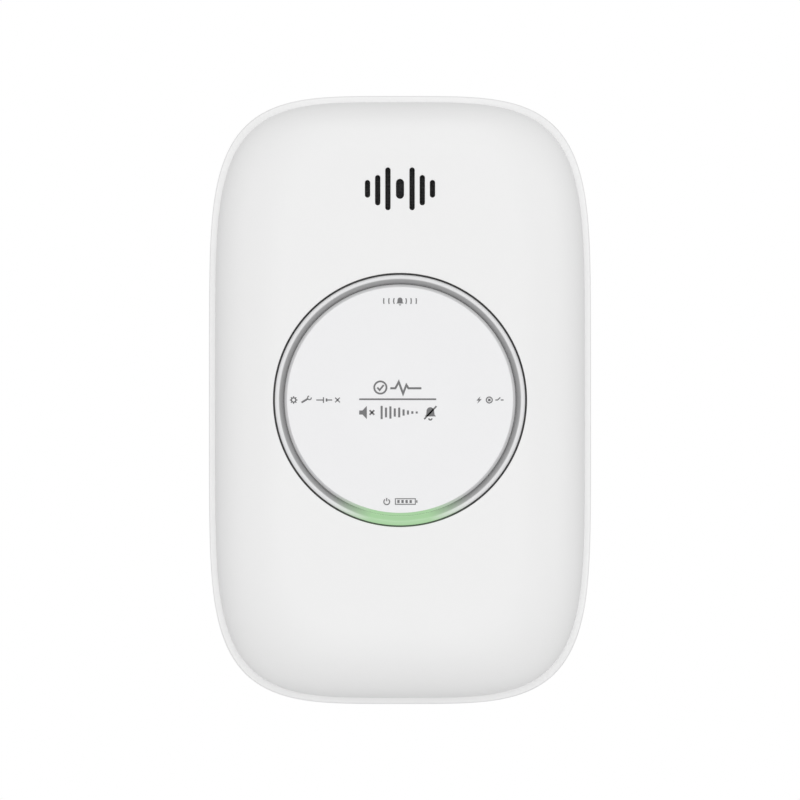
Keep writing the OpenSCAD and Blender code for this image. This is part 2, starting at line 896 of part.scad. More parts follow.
module battery_door() {
    color("whitesmoke") on_wall() {
        difference() {
            block([-door_half_w, door_bottom, back_in], [door_half_w, hinge_y, back_in + door_t]);
            // grip ridges for a thumb
            for (i = [0 : ridges - 1])
                translate([0, door_bottom + ridge_start + i * ridge_pitch, back_in])
                    block([-ridge_half_l, -ridge_half_w, -cut], [ridge_half_l, ridge_half_w, ridge_deep]);
        }
        translate([0, hinge_y, hinge_z])
            rotate([0, 90, 0]) {
                bar(knuckle_r, -door_half_w + knuckle_gap, door_half_w - knuckle_gap);
                bar(hinge_pin_r, -door_half_w - hinge_pin_l, door_half_w + hinge_pin_l);
            }
        // nib that snaps the door shut
        block([-nib_half_w, door_bottom - nib_out, back_in + nib_z],
              [nib_half_w, door_bottom + cut, back_in + nib_z + nib_h]);
    }
}

module case_screws() {
    color("silver") on_wall()
        at_bosses()
            difference() {
                union() {
                    bar(case_head_r, case_head_z - case_head_h, case_head_z);
                    bar(case_screw_r, case_head_z - case_head_h / 2, case_head_z + case_screw_l);
                }
                for (turn = [0, 90])
                    rotate([0, 0, turn])
                        block([-case_recess_l, -case_recess_w, 0],
                              [case_recess_l, case_recess_w, case_head_z - case_head_h / 2]);
            }
}

module board_screws() {
    color("silver") on_wall()
        at_posts()
            difference() {
                union() {
                    bar(board_head_r, board_front, board_front + board_head_h);
                    bar(board_screw_r, board_front - board_screw_l, board_front + board_head_h / 2);
                }
                for (turn = [0, 90])
                    rotate([0, 0, turn])
                        block([-board_recess_l, -board_recess_w, board_front + board_head_h / 2],
                              [board_recess_l, board_recess_w, board_front + board_head_h + cut]);
            }
}

wall_bracket();
rear_housing();
front_cover();
light_ring();
light_shield();
button_cap();
switch_body();
switch_plunger();
circuit_board();
power_lamp();
alarm_lamp();
fault_lamp();
malfunction_lamp();
sounder_case();
sounder_disc();
sounder_mesh();
sensor_can();
sensor_base();
sensor_pins();
controller_chip();
sensor_amplifier();
sounder_coil();
capacitors();
chip_resistors();
upper_cell();
lower_cell();
link_contact();
positive_contact();
negative_contact();
battery_springs();
battery_door();
case_screws();
board_screws();
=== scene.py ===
import json
import math
from functools import partial

import bmesh
import bpy
import numpy as np
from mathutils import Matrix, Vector

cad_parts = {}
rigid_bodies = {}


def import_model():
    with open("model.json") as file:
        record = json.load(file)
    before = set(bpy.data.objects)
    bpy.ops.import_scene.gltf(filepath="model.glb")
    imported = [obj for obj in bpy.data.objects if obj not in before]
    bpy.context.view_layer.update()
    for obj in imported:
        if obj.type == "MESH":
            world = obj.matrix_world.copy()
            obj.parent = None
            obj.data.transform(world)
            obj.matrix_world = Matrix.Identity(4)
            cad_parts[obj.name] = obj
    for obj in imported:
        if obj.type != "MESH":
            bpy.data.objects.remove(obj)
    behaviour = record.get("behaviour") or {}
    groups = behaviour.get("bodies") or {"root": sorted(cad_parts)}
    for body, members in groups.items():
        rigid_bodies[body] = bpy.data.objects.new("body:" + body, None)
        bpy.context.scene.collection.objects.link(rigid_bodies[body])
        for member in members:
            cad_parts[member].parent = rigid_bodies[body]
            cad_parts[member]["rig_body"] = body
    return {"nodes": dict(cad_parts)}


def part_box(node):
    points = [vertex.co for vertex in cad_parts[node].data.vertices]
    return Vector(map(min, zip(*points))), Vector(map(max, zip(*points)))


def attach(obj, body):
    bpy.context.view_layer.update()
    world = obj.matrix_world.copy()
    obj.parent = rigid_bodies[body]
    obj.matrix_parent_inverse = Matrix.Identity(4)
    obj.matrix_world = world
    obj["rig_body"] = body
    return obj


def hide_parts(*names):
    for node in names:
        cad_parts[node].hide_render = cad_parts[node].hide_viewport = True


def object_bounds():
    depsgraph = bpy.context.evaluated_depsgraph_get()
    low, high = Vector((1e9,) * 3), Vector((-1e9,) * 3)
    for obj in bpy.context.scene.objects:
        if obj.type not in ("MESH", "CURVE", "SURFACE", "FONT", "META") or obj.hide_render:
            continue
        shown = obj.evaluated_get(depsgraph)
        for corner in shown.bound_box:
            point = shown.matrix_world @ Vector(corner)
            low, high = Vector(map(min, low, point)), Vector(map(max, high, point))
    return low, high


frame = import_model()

mm = 0.001
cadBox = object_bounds()


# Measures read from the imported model, in mm from the wall plane
def boxMm(node):
    low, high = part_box(node)
    return [v / mm for v in low], [v / mm for v in high]


def depthsMm(node):  # back and front of a node, as distances out from the wall
    low, high = boxMm(node)
    return -high[1], -low[1]


caseShape = {"sidePower": 4.0, "endPower": 5.4}  # how square the outline is across and along


def outlineRadius(angle, halfWide, halfHigh):  # from the middle out to the rounded outline
    across, along = np.abs(np.cos(angle)) / halfWide, np.abs(np.sin(angle)) / halfHigh
    low, high = np.zeros_like(angle), np.full_like(angle, 2 * (halfWide + np.max(halfHigh)))
    for _ in range(50):
        middle = (low + high) / 2
        outside = (middle * across) ** caseShape["sidePower"] + (middle * along) ** caseShape["endPower"] > 1
        low, high = np.where(outside, low, middle), np.where(outside, middle, high)
    return (low + high) / 2


# mesh helpers
def addObject(name, data):
    thing = bpy.data.objects.new(name, data)
    bpy.context.scene.collection.objects.link(thing)
    return thing


def newObject(name, mesh, body, finish, stands=()):  # stands names the nodes that it stands for
    piece = addObject(name, mesh)
    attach(piece, body)
    if stands:
        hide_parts(*stands)
    mesh.materials.clear()
    mesh.materials.append(made[finish])
    return piece


def meshFrom(name, points, faces):  # points in mm, as x, depth from the wall, height
    mesh = bpy.data.meshes.new(name)
    mesh.from_pydata([(x * mm, -d * mm, z * mm) for x, d, z in points], [], faces)
    mesh.update()
    return mesh


def finishEdges(mesh, angle=32):  # outward normals, smooth faces, sharp edges over the angle
    bm = bmesh.new()
    bm.from_mesh(mesh)
    bmesh.ops.recalc_face_normals(bm, faces=bm.faces)
    for face in bm.faces:
        face.smooth = True
    for edge in bm.edges:
        edge.smooth = len(edge.link_faces) == 2 and edge.calc_face_angle(0) < math.radians(angle)
    bm.to_mesh(mesh)
    bm.free()


def ringMesh(name, rings, closed=False, capped=False, angle=32):
    count = len(rings[0])
    points = [tuple(p) for ring in rings for p in ring]
    pairs = list(zip(range(len(rings)), range(1, len(rings))))
    if closed:
        pairs.append((len(rings) - 1, 0))
    faces = [(a * count + i, a * count + (i + 1) % count, b * count + (i + 1) % count, b * count + i)
             for a, b in pairs for i in range(count)]
    if capped:
        faces += [tuple(range(count)), tuple((len(rings) - 1) * count + i for i in reversed(range(count)))]
    mesh = meshFrom(name, points, faces)
    finishEdges(mesh, angle)
    return mesh


def fullTurn(steps):
    return np.linspace(0, 2 * math.pi, steps, endpoint=False)


def roundRing(angles, radius, depth, centre=(0, 0)):  # points round a centre, as x, depth, height
    radius, depth = radius + 0 * angles, depth + 0 * angles
    return np.stack([centre[0] + radius * np.cos(angles), depth, centre[1] + radius * np.sin(angles)], 1)


def turnedMesh(name, profile, centre=(0, 0), steps=192, closed=True, angle=32):
    angles = fullTurn(steps)
    rings = [roundRing(angles, radius, depth, centre) for radius, depth in profile]
    return ringMesh(name, rings, closed=closed, capped=not closed, angle=angle)


def capsule(wide, high, steps=10):  # outline of an upright slot with round ends
    r = wide / 2
    top = [(r * math.cos(a), high / 2 - r + r * math.sin(a)) for a in np.linspace(0, math.pi, steps + 1)]
    return top + [(-x, -z) for x, z in top]


def applied(piece):  # swaps a piece's mesh for its modified one
    graph = bpy.context.evaluated_depsgraph_get()
    mesh = bpy.data.meshes.new_from_object(piece.evaluated_get(graph))
    piece.modifiers.clear()
    piece.data = mesh
    return piece


def cutWith(piece, cutterMesh):
    cutter = addObject("cutter", cutterMesh)
    step = piece.modifiers.new("cut", "BOOLEAN")
    step.operation, step.solver, step.object = "DIFFERENCE", "EXACT", cutter
    applied(piece)
    bpy.data.objects.remove(cutter)
    finishEdges(piece.data)


def tubeMesh(name, paths, radius, sides=10):  # round wire along each path of (x, depth, z) points
    points, faces = [], []
    for path in paths:
        path, start = np.array(path, float), len(points)
        along = np.gradient(path, axis=0)
        along /= np.linalg.norm(along, axis=1)[:, None]
        side = np.cross(along[0], (0.31, 0.87, 0.4))
        for i, (place, way) in enumerate(zip(path, along)):
            side = side - way * side.dot(way)
            side /= np.linalg.norm(side)
            up = np.cross(way, side)
            points += [tuple(place + radius * (math.cos(a) * side + math.sin(a) * up))
                       for a in fullTurn(sides)]
            if i:
                a, b = start + (i - 1) * sides, start + i * sides
                faces += [(a + k, a + (k + 1) % sides, b + (k + 1) % sides, b + k) for k in range(sides)]
        end = len(points)
        faces += [tuple(range(start, start + sides)), tuple(range(end - 1, end - sides - 1, -1))]
    mesh = meshFrom(name, points, faces)
    finishEdges(mesh, 50)
    return mesh


def ribbonPoints(path, wide, closed=False):  # two edges of a line of even width through x, z points
    path = np.array(path, float)
    ahead, behind = np.roll(path, -1, 0) - path, path - np.roll(path, 1, 0)
    if not closed:
        ahead[-1], behind[0] = behind[-1], ahead[0]
    ahead /= np.linalg.norm(ahead, axis=1)[:, None]
    behind /= np.linalg.norm(behind, axis=1)[:, None]
    both = ahead + behind
    side = np.stack([-both[:, 1], both[:, 0]], 1)
    side /= np.linalg.norm(side, axis=1)[:, None]
    stretch = 1 / np.maximum(0.3, (side * np.stack([-ahead[:, 1], ahead[:, 0]], 1)).sum(1))
    return path + side * stretch[:, None] * wide / 2, path - side * stretch[:, None] * wide / 2


def flatMesh(name, lines=(), shapes=(), low=0.0, high=0.1):  # raised lines and filled outlines
    points, faces = [], []
    for path, wide, closed in lines:
        left, right = ribbonPoints(path, wide, closed)
        start, count = len(points), len(left)
        for a, b in zip(left, right):
            points += [(a[0], high, a[1]), (b[0], high, b[1]), (b[0], low, b[1]), (a[0], low, a[1])]
        for i in range(count if closed else count - 1):
            a, b = start + 4 * i, start + 4 * ((i + 1) % count)
            faces += [(a + k, a + (k + 1) % 4, b + (k + 1) % 4, b + k) for k in range(4)]
        if not closed:
            last = start + 4 * (count - 1)
            faces += [(start, start + 1, start + 2, start + 3), (last + 3, last + 2, last + 1, last)]
    for shape in shapes:
        start, count = len(points), len(shape)
        points += [(x, high, z) for x, z in shape] + [(x, low, z) for x, z in shape]
        back = start + count
        faces += [tuple(range(start, back)), tuple(range(back + count - 1, back - 1, -1))]
        faces += [(start + i, back + i, back + (i + 1) % count, start + (i + 1) % count)
                  for i in range(count)]
    mesh = meshFrom(name, points, faces)
    finishEdges(mesh)
    return mesh


def strokes(wide, *paths):  # open lines of one width
    return [(path, wide, False) for path in paths]


def arcPath(x, z, r, first, last, steps=24):
    return [(x + r * math.cos(a), z + r * math.sin(a)) for a in np.radians(np.linspace(first, last, steps))]


def circlePath(x, z, r, steps=36):
    return arcPath(x, z, r, 0, 360 - 360 / steps, steps)


def barShape(x, z, wide, high):
    return [(x - wide / 2, z - high / 2), (x + wide / 2, z - high / 2), (x + wide / 2, z + high / 2),
            (x - wide / 2, z + high / 2)]


def paintFaces(piece, finish, chosen):  # chosen takes a face's middle and its way out, both in mm axes
    piece.data.materials.append(made[finish])
    index = len(piece.data.materials) - 1
    for face in piece.data.polygons:
        middle, out = face.center / mm, face.normal
        if chosen((middle.x, -middle.y, middle.z), (out.x, -out.y, out.z)):
            face.material_index = index


# node groups
def newGroup(name, inputs, outputs):  # a socket called Color holds a colour, any other a number
    group = bpy.data.node_groups.new(name, "ShaderNodeTree")

    def socketFor(label, way):
        kind = "NodeSocketColor" if label == "Color" else "NodeSocketFloat"
        return group.interface.new_socket(label, in_out=way, socket_type=kind)

    for label, value in inputs.items():
        socketFor(label, "INPUT").default_value = value
    for label in outputs:
        socketFor(label, "OUTPUT")
    return group, group.nodes.new("NodeGroupInput"), group.nodes.new("NodeGroupOutput")


def addNode(tree, kind, **values):
    node = tree.nodes.new(kind)
    for key, value in values.items():
        setattr(node, key, value)
    return node


def mathNode(tree, operation, a, b=None, clamp=False):
    node = addNode(tree, "ShaderNodeMath", operation=operation, use_clamp=clamp)
    for socket, value in zip(node.inputs, (a, b)):
        if hasattr(value, "is_linked"):
            tree.links.new(value, socket)
        elif value is not None:
            socket.default_value = value
    return node.outputs[0]


def noiseNode(tree, vector, scale, detail=3, roughness=0.5):
    node = addNode(tree, "ShaderNodeTexNoise")
    tree.links.new(vector, node.inputs["Vector"])
    if hasattr(scale, "is_linked"):
        tree.links.new(scale, node.inputs["Scale"])
    else:
        node.inputs["Scale"].default_value = scale
    node.inputs["Detail"].default_value = detail
    node.inputs["Roughness"].default_value = roughness
    return node.outputs["Fac"]


def colourMix(tree, factor, a, b, blend="MIX"):
    node = addNode(tree, "ShaderNodeMix", data_type="RGBA", blend_type=blend)
    for socket, value in ((node.inputs["Factor"], factor), (node.inputs[6], a), (node.inputs[7], b)):
        if hasattr(value, "is_linked"):
            tree.links.new(value, socket)
        elif isinstance(value, tuple):
            socket.default_value = (*value, 1)
        else:
            socket.default_value = value
    return node.outputs[2]


def surfaceGrain():  # moulded or sawn grain: colour drift, roughness drift and a fine height
    group, given, put = newGroup(
        "surfaceGrain",
        {"Color": (0.8, 0.8, 0.8, 1), "Drift": 0.04, "Roughness": 0.4, "Spread": 0.1, "Grain": 2500.0,
         "Patches": 40.0}, ("Color", "Roughness", "Height"))
    calc = partial(mathNode, group)
    place = addNode(group, "ShaderNodeTexCoord").outputs["Object"]
    broad = noiseNode(group, place, given.outputs["Patches"], 4, 0.55)
    fine = noiseNode(group, place, given.outputs["Grain"], 2, 0.6)
    darker = colourMix(group, 1.0, given.outputs["Color"], (0.72, 0.71, 0.68), "MULTIPLY")
    amount = calc("MULTIPLY", broad, given.outputs["Drift"])
    group.links.new(colourMix(group, amount, given.outputs["Color"], darker), put.inputs["Color"])
    off = calc("MULTIPLY", calc("SUBTRACT", broad, 0.5), given.outputs["Spread"])
    rough = calc("ADD", given.outputs["Roughness"], off, clamp=True)
    group.links.new(rough, put.inputs["Roughness"])
    group.links.new(fine, put.inputs["Height"])
    return group


def seamDust():  # pale wear on proud edges and faint dust in the hollows
    group, given, put = newGroup(
        "seamDust", {"Color": (0.8, 0.8, 0.8, 1), "Dust": 0.3, "Wear": 0.2}, ("Color", "Mask"))
    calc = partial(mathNode, group)
    bend = addNode(group, "ShaderNodeNewGeometry").outputs["Pointiness"]
    place = addNode(group, "ShaderNodeTexCoord").outputs["Object"]
    speckle = noiseNode(group, place, 900.0, 5, 0.65)
    hollow = calc("MULTIPLY", calc("SUBTRACT", 0.49, bend), 12.0, clamp=True)
    proud = calc("MULTIPLY", calc("SUBTRACT", bend, 0.53), 9.0, clamp=True)
    dusty = calc("MULTIPLY", calc("MULTIPLY", hollow, speckle), given.outputs["Dust"])
    worn = calc("MULTIPLY", calc("MULTIPLY", proud, speckle), given.outputs["Wear"])
    lower = colourMix(group, dusty, given.outputs["Color"], (0.3, 0.29, 0.27))
    group.links.new(colourMix(group, worn, lower, (0.95, 0.95, 0.95)), put.inputs["Color"])
    group.links.new(calc("ADD", dusty, worn, clamp=True), put.inputs["Mask"])
    return group


def lampGlow():  # where the power lamp's light comes out, low on the ring, between two radii
    group, given, put = newGroup(
        "lampGlow", {"Inner": 22.0, "Outer": 25.0, "Half Angle": 0.45, "Fade": 0.35}, ("Mask", "Radius"))
    calc = partial(mathNode, group)
    split = addNode(group, "ShaderNodeSeparateXYZ")
    group.links.new(addNode(group, "ShaderNodeTexCoord").outputs["Object"], split.inputs[0])
    across, up = split.outputs["X"], split.outputs["Z"]
    squares = calc("ADD", calc("MULTIPLY", across, across), calc("MULTIPLY", up, up))
    radius = calc("MULTIPLY", calc("SQRT", squares), 1 / mm)
    angle = calc("ABSOLUTE", calc("ARCTAN2", across, calc("MULTIPLY", up, -1.0)))
    past = calc("SUBTRACT", angle, given.outputs["Half Angle"])
    spent = calc("DIVIDE", past, given.outputs["Fade"])
    faded = calc("SUBTRACT", 1.0, spent, clamp=True)
    softly = calc("POWER", faded, 1.6)
    inside = calc("MULTIPLY", calc("GREATER_THAN", radius, given.outputs["Inner"]),
                  calc("LESS_THAN", radius, given.outputs["Outer"]))
    group.links.new(calc("MULTIPLY", softly, inside), put.inputs["Mask"])
    group.links.new(radius, put.inputs["Radius"])
    return group


grainGroup, dustGroup, glowGroup = surfaceGrain(), seamDust(), lampGlow()
glowLook = {"colour": (0.33, 0.53, 0.3), "under": (0.06, 0.09, 0.055), "halfAngle": 0.24, "fade": 0.4}


def lit(material, inner, outer, paintedShadeTones):  # adds the lamp's glow, and painted shade and highlight tones that change with the radius
    tree = material.node_tree
    shader = tree.nodes["Principled BSDF"]
    glow = addNode(tree, "ShaderNodeGroup", node_tree=glowGroup)
    for label, value in (("Inner", inner), ("Outer", outer), ("Half Angle", glowLook["halfAngle"]),
                         ("Fade", glowLook["fade"])):
        glow.inputs[label].default_value = value
    ramp = addNode(tree, "ShaderNodeValToRGB")
    span = addNode(tree, "ShaderNodeMapRange")
    first, last = paintedShadeTones[0][0], paintedShadeTones[-1][0]
    span.inputs["From Min"].default_value, span.inputs["From Max"].default_value = first, last
    tree.links.new(glow.outputs["Radius"], span.inputs["Value"])
    tree.links.new(span.outputs["Result"], ramp.inputs["Fac"])
    while len(ramp.color_ramp.elements) < len(paintedShadeTones):
        ramp.color_ramp.elements.new(0.5)
    for element, (radius, tone) in zip(ramp.color_ramp.elements, paintedShadeTones):
        element.position = (radius - first) / (last - first)
        element.color = (tone, tone, tone * 1.01, 1)
    colour = shader.inputs["Base Color"].links[0].from_socket
    colour = colourMix(tree, 1.0, colour, ramp.outputs["Color"], "MULTIPLY")
    mask = glow.outputs["Mask"]
    tree.links.new(colourMix(tree, mask, colour, glowLook["under"]), shader.inputs["Base Color"])
    light = colourMix(tree, mask, (0.0, 0.0, 0.0), glowLook["colour"])
    tree.links.new(light, shader.inputs["Emission Color"])
    shader.inputs["Emission Strength"].default_value = 1.0


def grained(name, look):  # a material with the shared grain and dust, and its own plain values
    material = bpy.data.materials.new(name)
    material.use_nodes = True
    tree = material.node_tree
    shader = tree.nodes["Principled BSDF"]
    grain = addNode(tree, "ShaderNodeGroup", node_tree=grainGroup)
    dust = addNode(tree, "ShaderNodeGroup", node_tree=dustGroup)
    grain.inputs["Color"].default_value = (*look["colour"], 1)
    for label, key, usual in (("Drift", "drift", 0.05), ("Roughness", "roughness", 0.4),
                              ("Spread", "spread", 0.12), ("Grain", "grain", 2500.0),
                              ("Patches", "patches", 40.0)):
        grain.inputs[label].default_value = look.get(key, usual)
    dust.inputs["Dust"].default_value = look.get("dust", 0.25)
    dust.inputs["Wear"].default_value = look.get("wear", 0.15)
    tree.links.new(grain.outputs["Color"], dust.inputs["Color"])
    tree.links.new(dust.outputs["Color"], shader.inputs["Base Color"])
    tree.links.new(grain.outputs["Roughness"], shader.inputs["Roughness"])
    bump = addNode(tree, "ShaderNodeBump")
    bump.inputs["Strength"].default_value = look.get("bump", 0.25)
    bump.inputs["Distance"].default_value = look.get("relief", 0.02) * mm
    tree.links.new(grain.outputs["Height"], bump.inputs["Height"])
    tree.links.new(bump.outputs["Normal"], shader.inputs["Normal"])
    for label, value in look.get("plain", {}).items():
        shader.inputs[label].default_value = value
    return material


metal = {"Metallic": 1.0}
finishes = {
    "casePlastic": {"colour": (0.86, 0.86, 0.86), "drift": 0.03, "roughness": 0.46, "grain": 2600.0,
                    "bump": 0.3, "relief": 0.012, "plain": {"Specular IOR Level": 0.45}},
    # the rear housing's rim and sides: a lighter and a darker copy of the case white, painted light on the
    # forward-facing rim and painted shade on the sides
    "rimPaintedLight": {"colour": (0.92, 0.92, 0.92), "drift": 0.03, "roughness": 0.44, "grain": 2600.0,
                   "bump": 0.25, "relief": 0.01, "wear": 0.1, "dust": 0.1},
    "sidePaintedShade": {"colour": (0.8, 0.8, 0.8), "drift": 0.03, "roughness": 0.46, "grain": 2600.0,
                    "bump": 0.3, "relief": 0.012, "dust": 0.1},
    "buttonPlastic": {"colour": (0.84, 0.84, 0.84), "drift": 0.02, "roughness": 0.34, "grain": 3200.0,
                      "bump": 0.15, "relief": 0.008, "dust": 0.1},
    "bracketPlastic": {"colour": (0.78, 0.78, 0.77), "roughness": 0.55, "grain": 1500.0, "relief": 0.03},
    "blackPlastic": {"colour": (0.018, 0.018, 0.02), "drift": 0.4, "roughness": 0.5, "grain": 2000.0},
    "greyInk": {"colour": (0.17, 0.17, 0.175), "drift": 0.15, "roughness": 0.6, "grain": 5000.0, "dust": 0.0,
                "wear": 0.0, "bump": 0.1},
    "ivoryPlastic": {"colour": (0.72, 0.68, 0.56), "roughness": 0.38},
    "whiteCeramic": {"colour": (0.82, 0.8, 0.74), "roughness": 0.3},
    "platedSteel": {"colour": (0.6, 0.6, 0.62), "roughness": 0.3, "spread": 0.2, "grain": 4000.0,
                    "plain": metal},
    "brightPlate": {"colour": (0.78, 0.78, 0.79), "roughness": 0.14, "spread": 0.1, "patches": 300.0,
                    "plain": metal},
    "brassSheet": {"colour": (0.72, 0.5, 0.2), "roughness": 0.28, "spread": 0.2, "drift": 0.3,
                   "plain": metal},
    "copperWinding": {"colour": (0.6, 0.22, 0.1), "roughness": 0.3, "drift": 0.4, "grain": 6000.0,
                      "bump": 0.6, "plain": metal},
    "solderTin": {"colour": (0.66, 0.67, 0.68), "roughness": 0.22, "drift": 0.2, "plain": metal},
    "blueSleeve": {"colour": (0.03, 0.05, 0.2), "drift": 0.2, "roughness": 0.3},
    "solderMask": {"colour": (0.01, 0.13, 0.045), "drift": 0.3, "roughness": 0.3, "patches": 120.0},
    "boardTrace": {"colour": (0.03, 0.24, 0.09), "drift": 0.2, "roughness": 0.28},
    "wovenWire": {"colour": (0.04, 0.04, 0.042), "drift": 0.3, "roughness": 0.6, "dust": 0.0, "wear": 0.0},
    "darkFelt": {"colour": (0.05, 0.05, 0.052), "drift": 0.3, "roughness": 0.9, "grain": 9000.0, "bump": 0.8,
                 "relief": 0.05, "dust": 0.0, "wear": 0.0},
    "ringPlastic": {"colour": (0.86, 0.86, 0.86), "drift": 0.04, "roughness": 0.24, "bump": 0.05, "dust": 0.0,
                    "wear": 0.0},
}
lensColours = {"greenLens": (0.1, 0.75, 0.15), "redLens": (0.6, 0.02, 0.02), "amberLens": (0.75, 0.28, 0.02),
               "yellowLens": (0.8, 0.6, 0.03)}
for name, colour in lensColours.items():
    finishes[name] = {"colour": colour, "drift": 0.1, "roughness": 0.12, "dust": 0.0}
finishes["greenLens"]["plain"] = {"Emission Color": (0.1, 1.0, 0.2, 1), "Emission Strength": 1.2}
made = {name: grained(name, look) for name, look in finishes.items()}
glowAndShadeBands = {  # the glow's inner and outer radius, then painted shade and highlight tones by radius
    # button: the glow on its edge is a painted reflection of the lamp's light, and the darker tone on its
    # rounded edge is painted shade
    "buttonPlastic": (22.12, 22.9, [(21.8, 1.0), (22.08, 1.0), (22.2, 0.79), (22.8, 0.79)]),
    # ring: painted shade in the gap by the button and on the hollow slope, a painted highlight on the lip,
    # painted shadow on the flange under the cover
    "ringPlastic": (22.6, 24.62, [(22.6, 0.3), (22.94, 0.36), (23.05, 0.43), (23.56, 0.44), (23.69, 0.56),
                                  (23.8, 0.9), (24.5, 0.88), (24.6, 0.2), (26.4, 0.15)]),
}
for name, band in glowAndShadeBands.items():
    lit(made[name], *band)
print("materials made")


def softened(node, finish, bevel=0.2, segments=2, angle=35, name=None, keep=None):
    mesh = frame["nodes"][node].data.copy()
    bm = bmesh.new()
    bm.from_mesh(mesh)
    bmesh.ops.remove_doubles(bm, verts=bm.verts, dist=0.002 * mm)
    bmesh.ops.dissolve_limit(bm, angle_limit=math.radians(0.3), verts=bm.verts, edges=bm.edges)
    if keep:
        bmesh.ops.delete(bm, geom=[face for face in bm.faces if not keep(face)], context="FACES")
    bm.to_mesh(mesh)
    bm.free()
    if not keep:
        finishEdges(mesh, angle)
    body = frame["nodes"][node]["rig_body"]
    piece = newObject(name or node + "Piece", mesh, body, finish, [node])
    if bevel:
        step = piece.modifiers.new("softEdges", "BEVEL")
        step.width, step.segments, step.limit_method = bevel * mm, segments, "ANGLE"
        step.angle_limit, step.harden_normals = math.radians(angle), True
    return piece


# front cover: the pillow front, its straight sides and its inside, in one closed skin
coverShape = {"curveAcross": 14.0, "curveTop": 10.0, "curveFoot": 13.5, "wall": 2.0, "straightSide": 2.0,
              "rimDepth": 18.0, "flangeLap": 1.49, "mouthRound": 0.14, "holeDrops": (1.1, 0.5), "steps": 320,
              "frontRings": 26, "edgeStep": 3.5, "innerStep": 9.0, "turnLevel": 52.0}
coverLow, coverHigh = boxMm("front_cover")
coverHalf = (coverHigh[0], coverHigh[2])
coverFoot, coverFront = depthsMm("front_cover")
curveStart = coverShape["rimDepth"] + coverShape["straightSide"]
curveRise = coverFront - curveStart
holeRadius = boxMm("light_ring")[1][0] - coverShape["flangeLap"]


def curveAlong(upper):  # the front curves in less at the top than at the bottom
    return np.where(upper, coverShape["curveTop"], coverShape["curveFoot"])


def levelOutline(angles, level, wall):  # the outline at one level of the front's curve
    inset = 1 - math.cos(math.radians(level))
    wide = coverHalf[0] - wall - (coverShape["curveAcross"] - wall) * inset
    high = coverHalf[1] - wall - (curveAlong(np.sin(angles) > 0) - wall) * inset
    return outlineRadius(angles, wide, high), curveStart + (curveRise - wall) * math.sin(math.radians(level))


def frontDepth(x, z, wall):  # how far out the front is over a point of the face
    low, high = np.zeros_like(x), np.full_like(x, 1.0)  # cosine of the level
    along = curveAlong(z > 0)
    for _ in range(40):
        cosine = (low + high) / 2
        wide = coverHalf[0] - wall - (coverShape["curveAcross"] - wall) * (1 - cosine)
        tall = coverHalf[1] - wall - (along - wall) * (1 - cosine)
        over = np.abs(x / wide) ** caseShape["sidePower"] + np.abs(z / tall) ** caseShape["endPower"] > 1
        low, high = np.where(over, cosine, low), np.where(over, high, cosine)
    return curveStart + (curveRise - wall) * np.sqrt(1 - low ** 2)


def coverRings():
    angles = fullTurn(coverShape["steps"])
    wall, mouth, turnLevel = coverShape["wall"], coverShape["mouthRound"], coverShape["turnLevel"]

    def faceRing(radius, drop, wall):
        radius = radius + 0 * angles
        depth = frontDepth(radius * np.cos(angles), radius * np.sin(angles), wall) - drop
        return roundRing(angles, radius, depth)

    rings = [faceRing(holeRadius, drop, 0) for drop in (wall, *coverShape["holeDrops"])]
    for turn in np.radians(np.linspace(0, 90, 6)):  # rounded mouth of the hole
        radius = holeRadius + mouth * (1 - math.cos(turn))
        rings.append(faceRing(radius, mouth * (1 - math.sin(turn)), 0))
    turnRadius, _ = levelOutline(angles, turnLevel, 0)
    start = holeRadius + mouth
    for share in np.linspace(0, 1, coverShape["frontRings"])[1:-1]:
        rings.append(faceRing(start + (turnRadius - start) * share, 0, 0))
    for level in np.arange(turnLevel, -0.1, -coverShape["edgeStep"]):
        rings.append(roundRing(angles, *levelOutline(angles, max(level, 0), 0)))
    edge = levelOutline(angles, 0, 0)[0]
    rings += [roundRing(angles, edge, depth)
              for depth in (curveStart, curveStart - 1, coverShape["rimDepth"], coverFoot)]
    innerEdge = levelOutline(angles, 0, wall)[0]
    rings += [roundRing(angles, innerEdge, depth) for depth in (coverFoot, curveStart)]
    for level in np.arange(coverShape["innerStep"], turnLevel + 0.1, coverShape["innerStep"]):
        rings.append(roundRing(angles, *levelOutline(angles, level, wall)))
    innerTurn = levelOutline(angles, level, wall)[0]
    for share in np.linspace(1, 0, 8)[1:-1]:
        rings.append(faceRing(holeRadius + (innerTurn - holeRadius) * share, 0, wall))
    return rings


slotShape = {"first": 2.37, "pitch": 2.0, "middleWide": 1.57, "middleHigh": 3.93, "wide": 1.03,
             "fromTop": 18.6, "mouth": 0.1, "cut": 4, "sides": ((8.4, 0.0), (5.95, 0.27), (3.46, 0.0))}
slotMiddle = boxMm("rear_housing")[1][2] - slotShape["fromTop"]


def slotCutter(x, wide, high, drop=0.0):  # upright slot that flares at its mouth
    mouth = slotShape["mouth"]
    levels = [(0, coverFront - slotShape["cut"]), (0, coverFront - mouth),
              (mouth * 0.3, coverFront - mouth * 0.3), (mouth, coverFront), (mouth * 2, coverFront + 1)]
    rings = [[(x + a, depth, slotMiddle - drop + b) for a, b in capsule(wide + 2 * grow, high + 2 * grow)]
             for grow, depth in levels]
    return ringMesh("slotCutter", rings, capped=True)


def makeCover():
    mesh = ringMesh("coverShell", coverRings(), closed=True)
    cover = newObject("coverShell", mesh, "alarm", "casePlastic", ["front_cover"])
    cutWith(cover, slotCutter(0, slotShape["middleWide"], slotShape["middleHigh"]))
    for i, (high, drop) in enumerate(slotShape["sides"]):  # a pair at a time, outwards
        for side in (-1, 1):
            x = side * (slotShape["first"] + slotShape["pitch"] * i)
            cutWith(cover, slotCutter(x, slotShape["wide"], high, drop))


